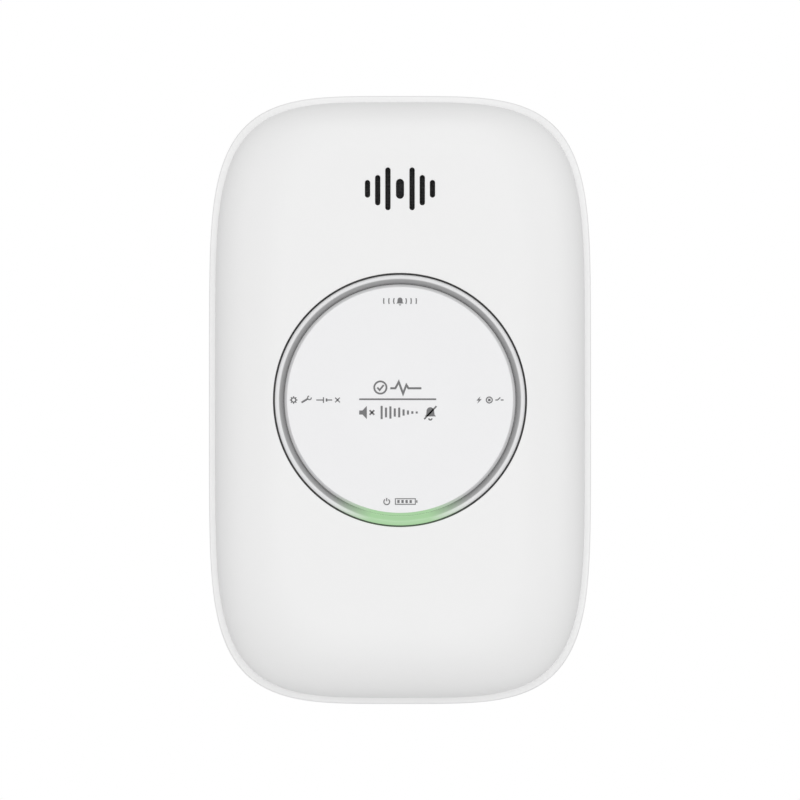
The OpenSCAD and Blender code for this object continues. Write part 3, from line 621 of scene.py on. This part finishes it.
coverBoss = {"headRadius": 2.3, "outer": 3.0, "bore": 1.25, "foot": 17.55, "top": 25.5, "bevel": 0.2}
screwReach = boxMm("case_screws")[1]
bossPlaces = [(x * (screwReach[0] - coverBoss["headRadius"]), z * (screwReach[2] - coverBoss["headRadius"]))
              for x in (-1, 1) for z in (-1, 1)]


def joined(name, meshes):  # one mesh out of several
    bm = bmesh.new()
    for mesh in meshes:
        bm.from_mesh(mesh)
    whole = bpy.data.meshes.new(name)
    bm.to_mesh(whole)
    bm.free()
    return whole


def makeCoverBosses():
    outer, bore, foot, top = [coverBoss[key] for key in ("outer", "bore", "foot", "top")]
    bevel = coverBoss["bevel"]
    profile = [(bore, foot + bevel), (bore + bevel, foot), (outer - bevel, foot), (outer, foot + bevel),
               (outer, top), (bore, top)]
    bosses = [turnedMesh("coverBoss", profile, place, steps=40) for place in bossPlaces]
    mesh = joined("coverBosses", bosses)
    newObject("coverBosses", mesh, "alarm", "casePlastic", ["front_cover"])


makeCover()
makeCoverBosses()
print("cover made")


# rear housing: smooth side band with the rim and the foot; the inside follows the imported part
housingShape = {"footIn": 1.6, "footFront": 3.4, "footBack": 0.6, "rimRound": 0.3, "rimInner": 1.28,
                "rabbet": 16.0, "innerWall": 3.9, "hollowIn": 4.15, "backIn": 2.6, "paintedShadeFacing": 0.93,
                "headHole": 2.6, "headFloor": 9.0, "shaftHole": 1.5, "shaftEnd": 19,
                "levels": (0, 1.6, 3.4, 1.15, 4.0), "flats": (18.0, 16.0, 3.4, 0.6)}
ventShape = {"count": 7, "wide": 1.6, "long": 6.0, "pitch": 4.0, "depth": 10.2}
housingHalf = (boxMm("rear_housing")[1][0], boxMm("rear_housing")[1][2])


def bandRings():
    angles = fullTurn(coverShape["steps"])
    foot, back, edge = housingShape["footIn"], housingShape["footBack"], housingShape["rimRound"]
    rim, step = coverShape["rimDepth"], housingShape["footFront"]
    profile = [(housingShape["hollowIn"], back), (foot + 0.3, back), (foot + 0.08, back + 0.08),
               (foot, back + 0.3), (foot, step - 0.15), (foot - 0.15, step), (0.5, step), (0.15, step + 0.15),
               (0, step + 0.5), (0, 8), (0, 13), (0, rim - 1.0), (0, rim - edge)]
    profile += [(edge * (1 - math.cos(turn)), rim - edge * (1 - math.sin(turn)))
                for turn in np.radians((22, 45, 68, 90))]
    inner, rabbet, wall, backIn = [housingShape[key] for key in ("rimInner", "rabbet", "innerWall", "backIn")]
    profile += [(inner - 0.04, rim), (inner, rim - 0.04), (inner, rabbet), (wall, rabbet), (wall, backIn),
                (housingShape["hollowIn"], backIn)]
    return [roundRing(angles, outlineRadius(angles, housingHalf[0] - inset, housingHalf[1] - inset), depth)
            for inset, depth in profile]


def housingCutters():
    cutters = []
    for end in (-1, 1):
        for i in range(ventShape["count"]):
            x = (i - (ventShape["count"] - 1) / 2) * ventShape["pitch"]
            outline = capsule(ventShape["wide"], ventShape["long"])
            rings = [[(x + a, ventShape["depth"] + b, end * z) for a, b in outline]
                     for z in (housingHalf[1] - 6, housingHalf[1] + 1)]
            cutters.append(ringMesh("vent", rings, capped=True))
    floor = housingShape["headFloor"]
    holes = (("headHole", -1, floor, 40), ("shaftHole", floor + 0.01, housingShape["shaftEnd"], 32))
    for place in bossPlaces:
        for name, first, last, steps in holes:
            profile = [(housingShape[name], first), (housingShape[name], last)]
            cutters.append(turnedMesh(name, profile, place, steps, closed=False))
    return joined("housingCutters", cutters)


def makeHousing():
    mesh = ringMesh("housingBand", bandRings(), closed=True)
    band = newObject("housingBand", mesh, "alarm", "rimPaintedLight", ["rear_housing"])
    cutWith(band, housingCutters())
    # faces turned away from the front get the darker white as painted shade; the forward-facing rim keeps the
    # lighter white as painted light
    paintFaces(band, "sidePaintedShade", lambda at, out: out[1] < housingShape["paintedShadeFacing"])
    softened("rear_housing", "casePlastic", 0, 0, name="housingInside", keep=lambda face: not onOutline(face))


def onOutline(face):  # a face of the faceted outer band, which the smooth band stands for
    def inset(corner):
        x, z = abs(corner.co.x) / mm, abs(corner.co.z) / mm
        for level in housingShape["levels"]:
            value = ((x / (housingHalf[0] - level)) ** caseShape["sidePower"]
                     + (z / (housingHalf[1] - level)) ** caseShape["endPower"])
            if abs(value - 1) < 0.014:
                return level
        return None
    insets = [inset(corner) for corner in face.verts]
    if abs(face.normal.y) < 0.1:
        return None not in insets and len(set(insets)) == 1
    depth = -face.calc_center_median().y / mm
    mostly = insets.count(None) < 0.4 * len(insets)
    return mostly and any(abs(depth - flat) < 0.02 for flat in housingShape["flats"])


makeHousing()
print("housing made")


# light ring: white plastic with painted shade on its slope and gaps and a painted highlight on its lip, lit
# by the power lamp below
ringShape = {"bore": 22.76, "inner": 22.93, "outer": 24.58, "slope": 0.9, "lip": 0.45, "crest": 0.7,
             "ledge": 1.15, "flangeThick": 1.2}
ringBack, ringFace = depthsMm("light_ring")
ringFlange = boxMm("light_ring")[1][0]


def makeRing():
    inner, outer, lip, bore = [ringShape[key] for key in ("inner", "outer", "lip", "bore")]
    ledge, flangeFront, bevel = ringFace - ringShape["ledge"], ringBack + ringShape["flangeThick"], 0.1
    crest = outer - ringShape["crest"]
    profile = [(bore, ringBack), (ringFlange - bevel, ringBack), (ringFlange, ringBack + bevel),
               (ringFlange, flangeFront - bevel), (ringFlange - bevel, flangeFront),
               (outer + bevel, flangeFront), (outer, flangeFront + bevel), (outer, ringFace - 1.2),
               (outer, ringFace - lip)]
    for turn in np.radians(np.linspace(10, 90, 6)):  # rounded outer lip
        profile.append((outer - lip * (1 - math.cos(turn)), ringFace - lip * (1 - math.sin(turn))))
    profile.append((crest, ringFace))
    for share in np.linspace(0.12, 1, 9):  # hollow slope down to the button
        profile.append((crest - (crest - inner) * share, ringFace - ringShape["slope"] * share ** 1.25))
    profile += [(inner, ledge), (bore, ledge)]  # closes the gap round the button
    mesh = turnedMesh("lightRing", profile, steps=256, angle=28)
    newObject("lightRing", mesh, "alarm", "ringPlastic", ["light_ring"])


makeRing()


# button: shallow disc with a rounded edge and a skirt
buttonShape = {"chamfer": 0.54, "chamferDrop": 0.95, "edgeRound": 0.06, "thick": 2.0, "skirtOut": 21.3,
               "skirtIn": 19.9, "skirtOverBack": 2.7, "bevel": 0.2}
buttonBack, buttonFace = depthsMm("button_cap")
buttonRadius = boxMm("button_cap")[1][0]


def makeButton():
    chamfer, drop, edge = buttonShape["chamfer"], buttonShape["chamferDrop"], buttonShape["edgeRound"]
    under, skirtFoot = buttonFace - buttonShape["thick"], buttonBack + buttonShape["skirtOverBack"]
    skirtIn, skirtOut, bevel = buttonShape["skirtIn"], buttonShape["skirtOut"], buttonShape["bevel"]
    profile = [(0.01, under + 0.01), (skirtIn - 0.3, under), (skirtIn, under - 0.3),
               (skirtIn, skirtFoot + bevel), (skirtIn + bevel, skirtFoot), (skirtOut - bevel, skirtFoot),
               (skirtOut, skirtFoot + bevel), (skirtOut, under - bevel), (skirtOut + bevel, under),
               (buttonRadius - 0.1, under), (buttonRadius, under + 0.1),
               (buttonRadius, buttonFace - drop - edge),
               (buttonRadius - edge * 0.5, buttonFace - drop),
               (buttonRadius - chamfer + edge * 0.5, buttonFace - edge),
               (buttonRadius - chamfer - edge, buttonFace)]
    profile += [(r, buttonFace) for r in (20.0, 15.0, 8.0, 0.01)]
    mesh = turnedMesh("buttonDisc", profile, steps=256)
    newObject("buttonDisc", mesh, "button", "buttonPlastic", ["button_cap"])


makeButton()
print("button and ring made")


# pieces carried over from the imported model: finish, width of the softened edge and its steps
lampLens = {"power_lamp": "greenLens", "alarm_lamp": "redLens", "fault_lamp": "amberLens",
            "malfunction_lamp": "yellowLens"}
carriedShape = {
    "wall_bracket": ("bracketPlastic", 0.3, 2), "battery_door": ("casePlastic", 0.15, 2),
    "light_shield": ("blackPlastic", 0.08, 1), "switch_body": ("blackPlastic", 0.1, 1),
    "switch_plunger": ("ivoryPlastic", 0.2, 3), "circuit_board": ("solderMask", 0.08, 1),
    "sounder_case": ("blackPlastic", 0.2, 2), "sounder_disc": ("brassSheet", 0.05, 1),
    "sensor_base": ("ivoryPlastic", 0.2, 2), "sensor_pins": ("brassSheet", 0.1, 2),
    "controller_chip": ("blackPlastic", 0.06, 1), "sensor_amplifier": ("blackPlastic", 0.06, 1),
    "sounder_coil": ("blackPlastic", 0.15, 2), "capacitors": ("blueSleeve", 0.15, 2),
    "chip_resistors": ("blackPlastic", 0.05, 1), "link_contact": ("brightPlate", 0.06, 1),
    "positive_contact": ("brightPlate", 0.06, 1), "negative_contact": ("brightPlate", 0.06, 1),
    "case_screws": ("platedSteel", 0.08, 1), "board_screws": ("platedSteel", 0.06, 1),
    **{node: ("whiteCeramic", 0.1, 1) for node in lampLens},
}
paintShape = {"lensFoot": 24.35, "leg": 0.9, "coilCheek": 1.2, "canTop": 0.05, "endFacing": 0.7,
              "crystalShare": 0.71, "crystalFacing": 0.5, "plateFacing": 0.9}
carried = {node: softened(node, *look) for node, look in carriedShape.items()}


def paintCarried():
    for node, lens in lampLens.items():  # the lens stands on a white body
        paintFaces(carried[node], lens, lambda at, out: at[1] > paintShape["lensFoot"])
    for node in ("controller_chip", "sensor_amplifier"):  # legs stand out above and below
        low, high = boxMm(node)
        middle, body = (low[2] + high[2]) / 2, (high[2] - low[2]) / 2 - paintShape["leg"]
        paintFaces(carried[node], "solderTin", lambda at, out: abs(at[2] - middle) > body + 0.02)
    back, front = depthsMm("sounder_coil")
    first, last = back + paintShape["coilCheek"], front - paintShape["coilCheek"]
    paintFaces(carried["sounder_coil"], "copperWinding", lambda at, out: first < at[1] < last)
    canTop = depthsMm("capacitors")[1] - paintShape["canTop"]
    paintFaces(carried["capacitors"], "solderTin", lambda at, out: at[1] > canTop)
    paintFaces(carried["chip_resistors"], "solderTin", lambda at, out: abs(out[2]) > paintShape["endFacing"])
    low, high = boxMm("sounder_disc")
    height, crystal = (low[2] + high[2]) / 2, paintShape["crystalShare"] * (high[0] - low[0]) / 2
    paintFaces(carried["sounder_disc"], "whiteCeramic", lambda at, out: (
        math.hypot(at[0], at[2] - height) < crystal and out[1] > paintShape["crystalFacing"]))
    paintFaces(carried["switch_body"], "brightPlate", lambda at, out: out[1] > paintShape["plateFacing"])


paintCarried()
print("carried pieces made")


# cells: steel cans in two-tone sleeves, with dished ends
cellShape = {"endRound": 0.7, "groove": 0.35, "nub": 2.75, "nubHigh": 1.2, "nubRound": 0.5, "beadHigh": 0.25,
             "sleeve": (0.028, 0.07, 0.1), "band": (0.62, 0.63, 0.62), "bandShare": 0.24, "lineShare": 0.02,
             "lineTop": 0.97}


def sleeveMaterial(name, low, high, side):  # the pale band sits at the nub's end
    material = grained(name, {"colour": cellShape["sleeve"], "drift": 0.15, "roughness": 0.28, "dust": 0.1,
                              "plain": {"Coat Weight": 0.4}})
    tree = material.node_tree
    shader = tree.nodes["Principled BSDF"]
    split = addNode(tree, "ShaderNodeSeparateXYZ")
    tree.links.new(addNode(tree, "ShaderNodeTexCoord").outputs["Object"], split.inputs[0])
    share = addNode(tree, "ShaderNodeMapRange")
    tree.links.new(split.outputs["X"], share.inputs["Value"])
    ends = (low, high) if side > 0 else (high, low)
    share.inputs["From Min"].default_value, share.inputs["From Max"].default_value = [v * mm for v in ends]
    banded = mathNode(tree, "GREATER_THAN", share.outputs["Result"], 1 - cellShape["bandShare"])
    off = mathNode(tree, "SUBTRACT", share.outputs["Result"], cellShape["lineTop"] - cellShape["bandShare"])
    line = mathNode(tree, "LESS_THAN", mathNode(tree, "ABSOLUTE", off), cellShape["lineShare"] / 2)
    colour = shader.inputs["Base Color"].links[0].from_socket
    tree.links.new(colourMix(tree, mathNode(tree, "MAXIMUM", banded, line), colour, cellShape["band"]),
                   shader.inputs["Base Color"])
    return material


def makeCell(node, side):
    low, high = boxMm(node)
    radius, length = (high[2] - low[2]) / 2, high[0] - low[0]
    edge, groove, bead = cellShape["endRound"], cellShape["groove"], cellShape["beadHigh"]
    nub, top, nubRound = cellShape["nub"], cellShape["nubHigh"], cellShape["nubRound"]
    profile = [(0.01, 0), (nub - nubRound, 0), (nub - 0.15, 0.15), (nub, nubRound), (nub, top - 0.2),
               (2.95, top), (4.6, top), (4.8, top + bead), (5.6, top + bead), (5.8, top),
               (radius - edge, top), (radius - 0.2, top + 0.2), (radius, top + edge), (radius, length - edge),
               (radius - 0.2, length - 0.2), (radius - edge, length), (5.2, length),
               (4.9, length - groove), (0.01, length - groove)]
    start = high[0] if side > 0 else low[0]
    middle = ((low[1] + high[1]) / 2, (low[2] + high[2]) / 2)
    rings = [[(start - side * along, -middle[0] + r * math.cos(a), middle[1] + r * math.sin(a))
              for a in fullTurn(72)] for r, along in profile]
    mesh = ringMesh(node, rings, capped=True)
    cell = newObject(node + "Can", mesh, "alarm", "platedSteel", [node])
    name = node + "Sleeve"
    made[name] = sleeveMaterial(name, low[0], high[0], side)
    paintFaces(cell, name, lambda at, out: math.hypot(at[1] + middle[0], at[2] - middle[1]) > radius - 0.3)


makeCell("upper_cell", 1)
makeCell("lower_cell", -1)


# contact springs, sounder mesh and gas sensor
springShape = {"wire": 0.4, "wide": 4.0, "narrow": 2.4, "turns": 4.2, "flat": 0.8, "gap": 0.05,
               "steps": 220}


def springPath(start, side, height, depth, length):  # flat end coils, open turns between
    path, turns, flat, wide = [], springShape["turns"], springShape["flat"], springShape["wide"]
    for share in np.linspace(0, 1, springShape["steps"]):
        angle = 2 * math.pi * turns * share
        stretch = min(max((share * turns - flat) / (turns - 2 * flat), 0), 1)
        radius = wide + (springShape["narrow"] - wide) * share
        path.append((start + side * length * stretch, depth + radius * math.sin(angle),
                     height + radius * math.cos(angle)))
    return path


def makeSprings():
    low, high = boxMm("battery_springs")
    depth = -(low[1] + high[1]) / 2
    cells = {1: boxMm("lower_cell"), -1: boxMm("upper_cell")}  # spring at the right, then at the left
    paths, wire = [], springShape["wire"]
    for side, (cellLow, cellHigh) in cells.items():
        wall, cellEnd = (high[0], cellHigh[0]) if side > 0 else (low[0], cellLow[0])
        length = abs(wall - cellEnd) - 2 * wire - springShape["gap"]
        paths.append(springPath(wall - side * wire, -side, (cellLow[2] + cellHigh[2]) / 2, depth, length))
    mesh = tubeMesh("contactSprings", paths, wire)
    newObject("contactSprings", mesh, "alarm", "brightPlate", ["battery_springs"])


meshShape = {"pitch": 0.62, "wire": 0.1, "frame": 0.9, "corner": 2.0, "edge": 1.2, "weave": 0.9,
             "feltBack": 0.15, "feltGap": 0.02}


def makeSounderMesh():
    low, high = boxMm("sounder_mesh")
    back, front = depthsMm("sounder_mesh")
    middle, weave = (back + front) / 2, meshShape["wire"] * meshShape["weave"]
    centre = ((low[0] + high[0]) / 2, (low[2] + high[2]) / 2)
    wide, tall = high[0] - low[0], high[2] - low[2]
    inset = meshShape["frame"] / 2
    corner = meshShape["corner"] - inset
    path, (across, along) = [], [span / 2 - inset - corner for span in (wide, tall)]
    for x, z, turn in ((1, 1, 0), (-1, 1, 90), (-1, -1, 180), (1, -1, 270)):
        path += arcPath(centre[0] + x * across, centre[1] + z * along, corner, turn, turn + 90, 8)
    frameMesh = flatMesh("meshFrame", [(path, meshShape["frame"], True)], low=back, high=front)
    pitch, paths = meshShape["pitch"], []
    columns, rows = [int((span - meshShape["edge"]) / pitch) for span in (wide, tall)]
    for i in range(columns):
        x = centre[0] + (i - (columns - 1) / 2) * pitch
        paths.append([(x, middle + weave * (-1) ** (i + j), centre[1] + (j - (rows - 1) / 2) * pitch)
                      for j in range(rows)])
    for j in range(rows):
        z = centre[1] + (j - (rows - 1) / 2) * pitch
        paths.append([(centre[0] + (i - (columns - 1) / 2) * pitch, middle - weave * (-1) ** (i + j), z)
                      for i in range(columns)])
    wires = tubeMesh("meshWires", paths, meshShape["wire"], 6)
    woven = joined("sounderDustMesh", [frameMesh, wires])
    newObject("sounderDustMesh", woven, "alarm", "wovenWire", ["sounder_mesh"])
    feltBack, feltFront = back - meshShape["feltBack"], back - meshShape["feltGap"]
    felt = flatMesh("sounderFelt", shapes=[path], low=feltBack, high=feltFront)
    newObject("sounderFelt", felt, "alarm", "darkFelt")


sensorShape = {"crown": 0.6, "crownShare": 0.6, "edge": 0.7, "crimp": 0.35,
               "crimpEnds": (2.6, 2.2, 1.8, 1.4), "inlet": 1.4, "inletDeep": 1.5}


def makeSensor():
    low, high = boxMm("sensor_can")
    back, front = depthsMm("sensor_can")  # the crown faces the wall
    radius = (high[0] - low[0]) / 2
    centre = ((low[0] + high[0]) / 2, (low[2] + high[2]) / 2)
    crown, edge, crimp = sensorShape["crown"], sensorShape["edge"], sensorShape["crimp"]
    inner = radius * sensorShape["crownShare"]
    inlet, floor = sensorShape["inlet"], back + sensorShape["inletDeep"]
    profile = [(0.01, floor), (inlet, floor), (inlet, back + 0.15), (inlet + 0.15, back), (inner - 0.2, back),
               (inner, back + 0.2), (inner + 0.1, back + crown), (radius - edge, back + crown)]
    profile += [(radius - edge + edge * math.sin(a), back + crown + edge * (1 - math.cos(a)))
                for a in np.radians((30, 60, 90))]
    dents = zip((0, crimp, crimp, 0), sensorShape["crimpEnds"])
    profile += [(radius - dent, front - end) for dent, end in dents]
    profile += [(radius, front), (0.01, front)]
    mesh = turnedMesh("sensorCan", profile, centre, 96, closed=False)
    newObject("sensorCan", mesh, "alarm", "platedSteel", ["sensor_can"])


makeSprings()
makeSounderMesh()
makeSensor()
print("cells, springs, mesh and sensor made")


# board details: traces under the mask and solder round the leads
boardShape = {"proud": 0.035, "sunk": 0.02, "traceWide": 0.3, "feedWide": 1.1, "railWide": 0.5,
              "jointRadius": 0.85, "jointHigh": 0.55, "fanLines": 10, "fanPitch": 0.9, "fanSpread": 0.7,
              "busLines": 7, "busPitch": 1.2}


def boardJoints():  # lead places on the board's front, as x, height and lead radius
    low, high = boxMm("sensor_pins")
    middle = (low[0] + high[0]) / 2
    places = [(middle, high[2] - 0.45, 0.45), (low[0] + 0.45, low[2] + 0.45, 0.45),
              (high[0] - 0.45, low[2] + 0.45, 0.45)]
    for node in ("positive_contact", "negative_contact"):
        low, high = boxMm(node)
        places.append(((low[0] + high[0]) / 2 + 0.3, (low[2] + high[2]) / 2, 0.3))
    return places


def makeBoardDetails():
    face = depthsMm("circuit_board")[1]
    joints = []
    for x, z, lead in boardJoints():
        r, high = boardShape["jointRadius"], boardShape["jointHigh"]
        profile = [(r, face + 0.001), (r, face + 0.06), (r * 0.75, face + high * 0.35),
                   (lead + 0.08, face + high), (0.01, face + high * 1.05)]
        joints.append(turnedMesh("joint", profile, (x, z), 28, closed=False))
    newObject("solderJoints", joined("solderJoints", joints), "alarm", "solderTin")
    low, high = boxMm("controller_chip")
    lines, row = [], (low[2] + high[2]) / 2
    fine, count, pitch = boardShape["traceWide"], boardShape["fanLines"], boardShape["busPitch"]
    for i in range(count):  # fans out from the controller
        x = low[0] + 0.4 + i * boardShape["fanPitch"]
        off = (i - (count - 1) / 2) * boardShape["fanSpread"]
        lines += strokes(fine, [(x, high[2] - 0.2), (x, high[2] + 1.0), (x + off, high[2] + 1.0 + abs(off)),
                                (x + off, row + 7.0 + (i % 3) * 0.2)])
    for i in range(boardShape["busLines"]):
        x, foot = low[0] + 0.9 + i * pitch, low[2] - 2.0 - i * 0.05
        lines += strokes(fine * 0.8, [(x, low[2] + 0.2), (x, low[2] - 0.8), (x + pitch, foot),
                                      (x + 6 + i * 2.2, foot)])
    for (x, z, _), turn in zip(boardJoints()[3:], (1, -1)):
        end = z + 2 * turn
        lines += strokes(boardShape["feedWide"], [(x, z), (x - 2.5, z), (x - 4.5, end), (x - 12, end)])
    rails = [[(side * x, z) for x, z in ((28, -5), (28, 20), (25, 30), (17, 36))] for side in (-1, 1)]
    lines += strokes(boardShape["railWide"], *rails)
    mesh = flatMesh("boardTraces", lines, low=face - boardShape["sunk"], high=face + boardShape["proud"])
    newObject("boardTraces", mesh, "alarm", "boardTrace")


makeBoardDetails()
print("board details made")


# button marks in place of words: thin grey ink, with the long line across the middle
inkShape = {"proud": 0.03, "sunk": 0.05, "bold": 0.4, "fine": 0.22}


def inkPiece(name, lines, shapes=()):
    low, high = buttonFace - inkShape["sunk"], buttonFace + inkShape["proud"]
    newObject(name, flatMesh(name, lines, shapes, low, high), "button", "greyInk")


def bellShape(x, z, size):
    outline = [(-0.46, -0.34), (-0.34, -0.2), (-0.31, 0.06)]
    outline += [(0.31 * math.cos(a), 0.1 + 0.31 * math.sin(a)) for a in np.radians(np.linspace(170, 10, 14))]
    outline += [(0.31, 0.06), (0.34, -0.2), (0.46, -0.34)]
    return [(x + size * a, z + size * b) for a, b in outline]


def makeMarks():
    bold, fine = inkShape["bold"], inkShape["fine"]
    inkPiece("dividerLine", [], [barShape(-0.45, 0.15, 15.1, 0.32)])
    tick = [(-4.45, 2.45), (-4.0, 1.95), (-3.2, 2.95)]
    pulse = [(-1.9, 2.3), (-0.9, 2.3), (-0.25, 3.55), (0.6, 1.25), (1.25, 2.95), (1.65, 2.3), (4.2, 2.3)]
    inkPiece("testMark", [(circlePath(-3.85, 2.45, 1.2), bold * 0.85, True)] + strokes(bold * 0.85, tick)
             + strokes(bold, pulse))
    speaker = [(-8.0, -2.05), (-7.35, -2.05), (-6.5, -1.15), (-6.5, -3.75), (-7.35, -2.85), (-8.0, -2.85)]
    heights = (2.6, 1.9, 2.4, 1.6, 1.9, 1.2, 0.8, 0.5, 0.4)
    bars = [barShape(-3.6 + 0.86 * i, -2.45, bold, high) for i, high in enumerate(heights)]
    cross = [[(-5.95, -2.0), (-5.05, -2.9)], [(-5.05, -2.0), (-5.95, -2.9)]]
    inkPiece("silenceMark", strokes(bold * 0.85, *cross) + strokes(bold * 0.8, [(4.75, -3.75), (7.15, -1.2)])
             + strokes(bold * 0.7, arcPath(5.95, -3.6, 0.3, 180, 360, 10)),
             [speaker, bellShape(5.95, -2.4, 2.4)] + bars)
    waves = [arcPath(0, 19.4, r, turn - reach, turn + reach, 14)
             for r, reach in ((1.25, 26), (2.2, 15), (3.2, 10)) for turn in (0, 180)]
    inkPiece("alarmMark", strokes(fine, *waves) + strokes(fine * 0.7, arcPath(0, 18.78, 0.17, 180, 360, 8)),
             [bellShape(0, 19.45, 1.55)])
    battery = [(-0.9, -19.35), (3.0, -19.35), (3.0, -20.45), (-0.9, -20.45)]
    charge = [barShape(3.3, -19.9, 0.25, 0.5)]
    charge += [barShape(-0.3 + 0.8 * i, -19.9, 0.45, 0.6) for i in range(4)]
    power = strokes(fine, arcPath(-2.6, -19.95, 0.56, 125, 415, 26), [(-2.6, -19.2), (-2.6, -19.85)])
    inkPiece("powerMark", power + [(battery, fine * 0.8, True)], charge)
    gear = [[(-20.85 + r * math.cos(a), r * math.sin(a)) for r in (0.42, 0.74)]
            for a in np.radians(np.arange(0, 360, 45))]
    inkPiece("malfunctionMark", strokes(fine, *gear) + [(circlePath(-20.85, 0, 0.42, 24), fine, True)]
             + strokes(fine * 1.6, [(-19.3, -0.5), (-18.15, 0.2)])
             + strokes(fine, arcPath(-17.75, 0.42, 0.36, 100, 370, 16), [(-16.4, 0), (-15.0, 0)],
                       [(-15.0, -0.55), (-15.0, 0.55)])
             + strokes(fine * 1.4, [(-14.4, -0.3), (-14.4, 0.3)])
             + strokes(fine, [(-14.4, 0), (-13.3, 0)], [(-12.7, -0.45), (-11.8, 0.45)],
                       [(-11.8, -0.45), (-12.7, 0.45)]))
    bolt = [(15.75, 0.72), (15.0, -0.1), (15.42, -0.1), (15.15, -0.72), (16.0, 0.16), (15.55, 0.16)]
    inkPiece("faultMark", [(circlePath(17.5, 0, 0.58, 28), fine, True)]
             + strokes(fine, [(17.27, -0.23), (17.73, 0.23)], [(17.73, -0.23), (17.27, 0.23)],
                       [(18.7, 0), (19.15, 0)], [(19.15, 0.0), (19.65, 0.5)], [(19.75, 0), (20.3, 0)]),
             [bolt])


makeMarks()
print("marks made")


# stage, lights and camera
stageShape = {"floorDrop": 840.0, "floorHalf": 3.2, "viewWide": 157.9, "distance": 2.0,
              "sensor": 36.0, "clipEnd": 20, "fill": 0.6, "seen": 1.0}
lightPlan = {
    "key": {"place": (0.0, -2.3, 0.42), "size": 1.6, "power": 9.3},
    "left": {"place": (-1.9, -0.9, 0.2), "size": 1.0, "power": 4.7},
    "right": {"place": (1.9, -0.9, 0.2), "size": 1.0, "power": 5.6},
    "above": {"place": (0.0, -0.9, 1.9), "size": 1.0, "power": 6.5},
    "below": {"place": (0.0, -1.0, -0.7), "size": 0.8, "power": 1.5},
}


def makeFloor():
    level = cadBox[0][2] - stageShape["floorDrop"] * mm
    half = stageShape["floorHalf"]
    mesh = bpy.data.meshes.new("floor")
    corners = [(x * half, y * half, level) for x, y in ((-1, -1), (1, -1), (1, 1), (-1, 1))]
    mesh.from_pydata(corners, [], [(0, 1, 2, 3)])
    floor = addObject("floor", mesh)
    floor.data.materials.append(grained("palePaper", {"colour": (0.85, 0.85, 0.85), "roughness": 0.8}))


def aimAt(thing, target):
    thing.rotation_mode = "QUATERNION"
    thing.rotation_quaternion = (Vector(target) - thing.location).to_track_quat("-Z", "Y")


def makeLights():
    for name, plan in lightPlan.items():
        data = bpy.data.lights.new(name, "AREA")
        data.size, data.energy = plan["size"], plan["power"]
        light = addObject(name, data)
        light.location = plan["place"]
        light.visible_camera = False
        aimAt(light, (0, 0, 0))
    world = bpy.data.worlds.new("studio")
    bpy.context.scene.world = world
    world.use_nodes = True
    tree = world.node_tree
    chooser = addNode(tree, "ShaderNodeMixShader")
    tree.links.new(addNode(tree, "ShaderNodeLightPath").outputs["Is Camera Ray"], chooser.inputs["Fac"])
    skies = ((tree.nodes["Background"], "fill"), (addNode(tree, "ShaderNodeBackground"), "seen"))
    for index, (sky, key) in enumerate(skies, 1):
        sky.inputs["Color"].default_value = (1, 1, 1, 1)
        sky.inputs["Strength"].default_value = stageShape[key]
        tree.links.new(sky.outputs[0], chooser.inputs[index])
    tree.links.new(chooser.outputs[0], tree.nodes["World Output"].inputs["Surface"])


def makeCamera():
    data = bpy.data.cameras.new("camera")
    camera = addObject("camera", data)
    rimPlane = -coverShape["rimDepth"] * mm
    camera.location = (0, rimPlane - stageShape["distance"], 0)
    data.sensor_width = stageShape["sensor"]
    data.lens = data.sensor_width * stageShape["distance"] / (stageShape["viewWide"] * mm)
    aimAt(camera, (0, 0, 0))
    data.clip_end = stageShape["clipEnd"]
    bpy.context.scene.camera = camera


makeFloor()
makeLights()
makeCamera()
bpy.context.scene.view_settings.view_transform = "Standard"
print("stage, lights and camera made")
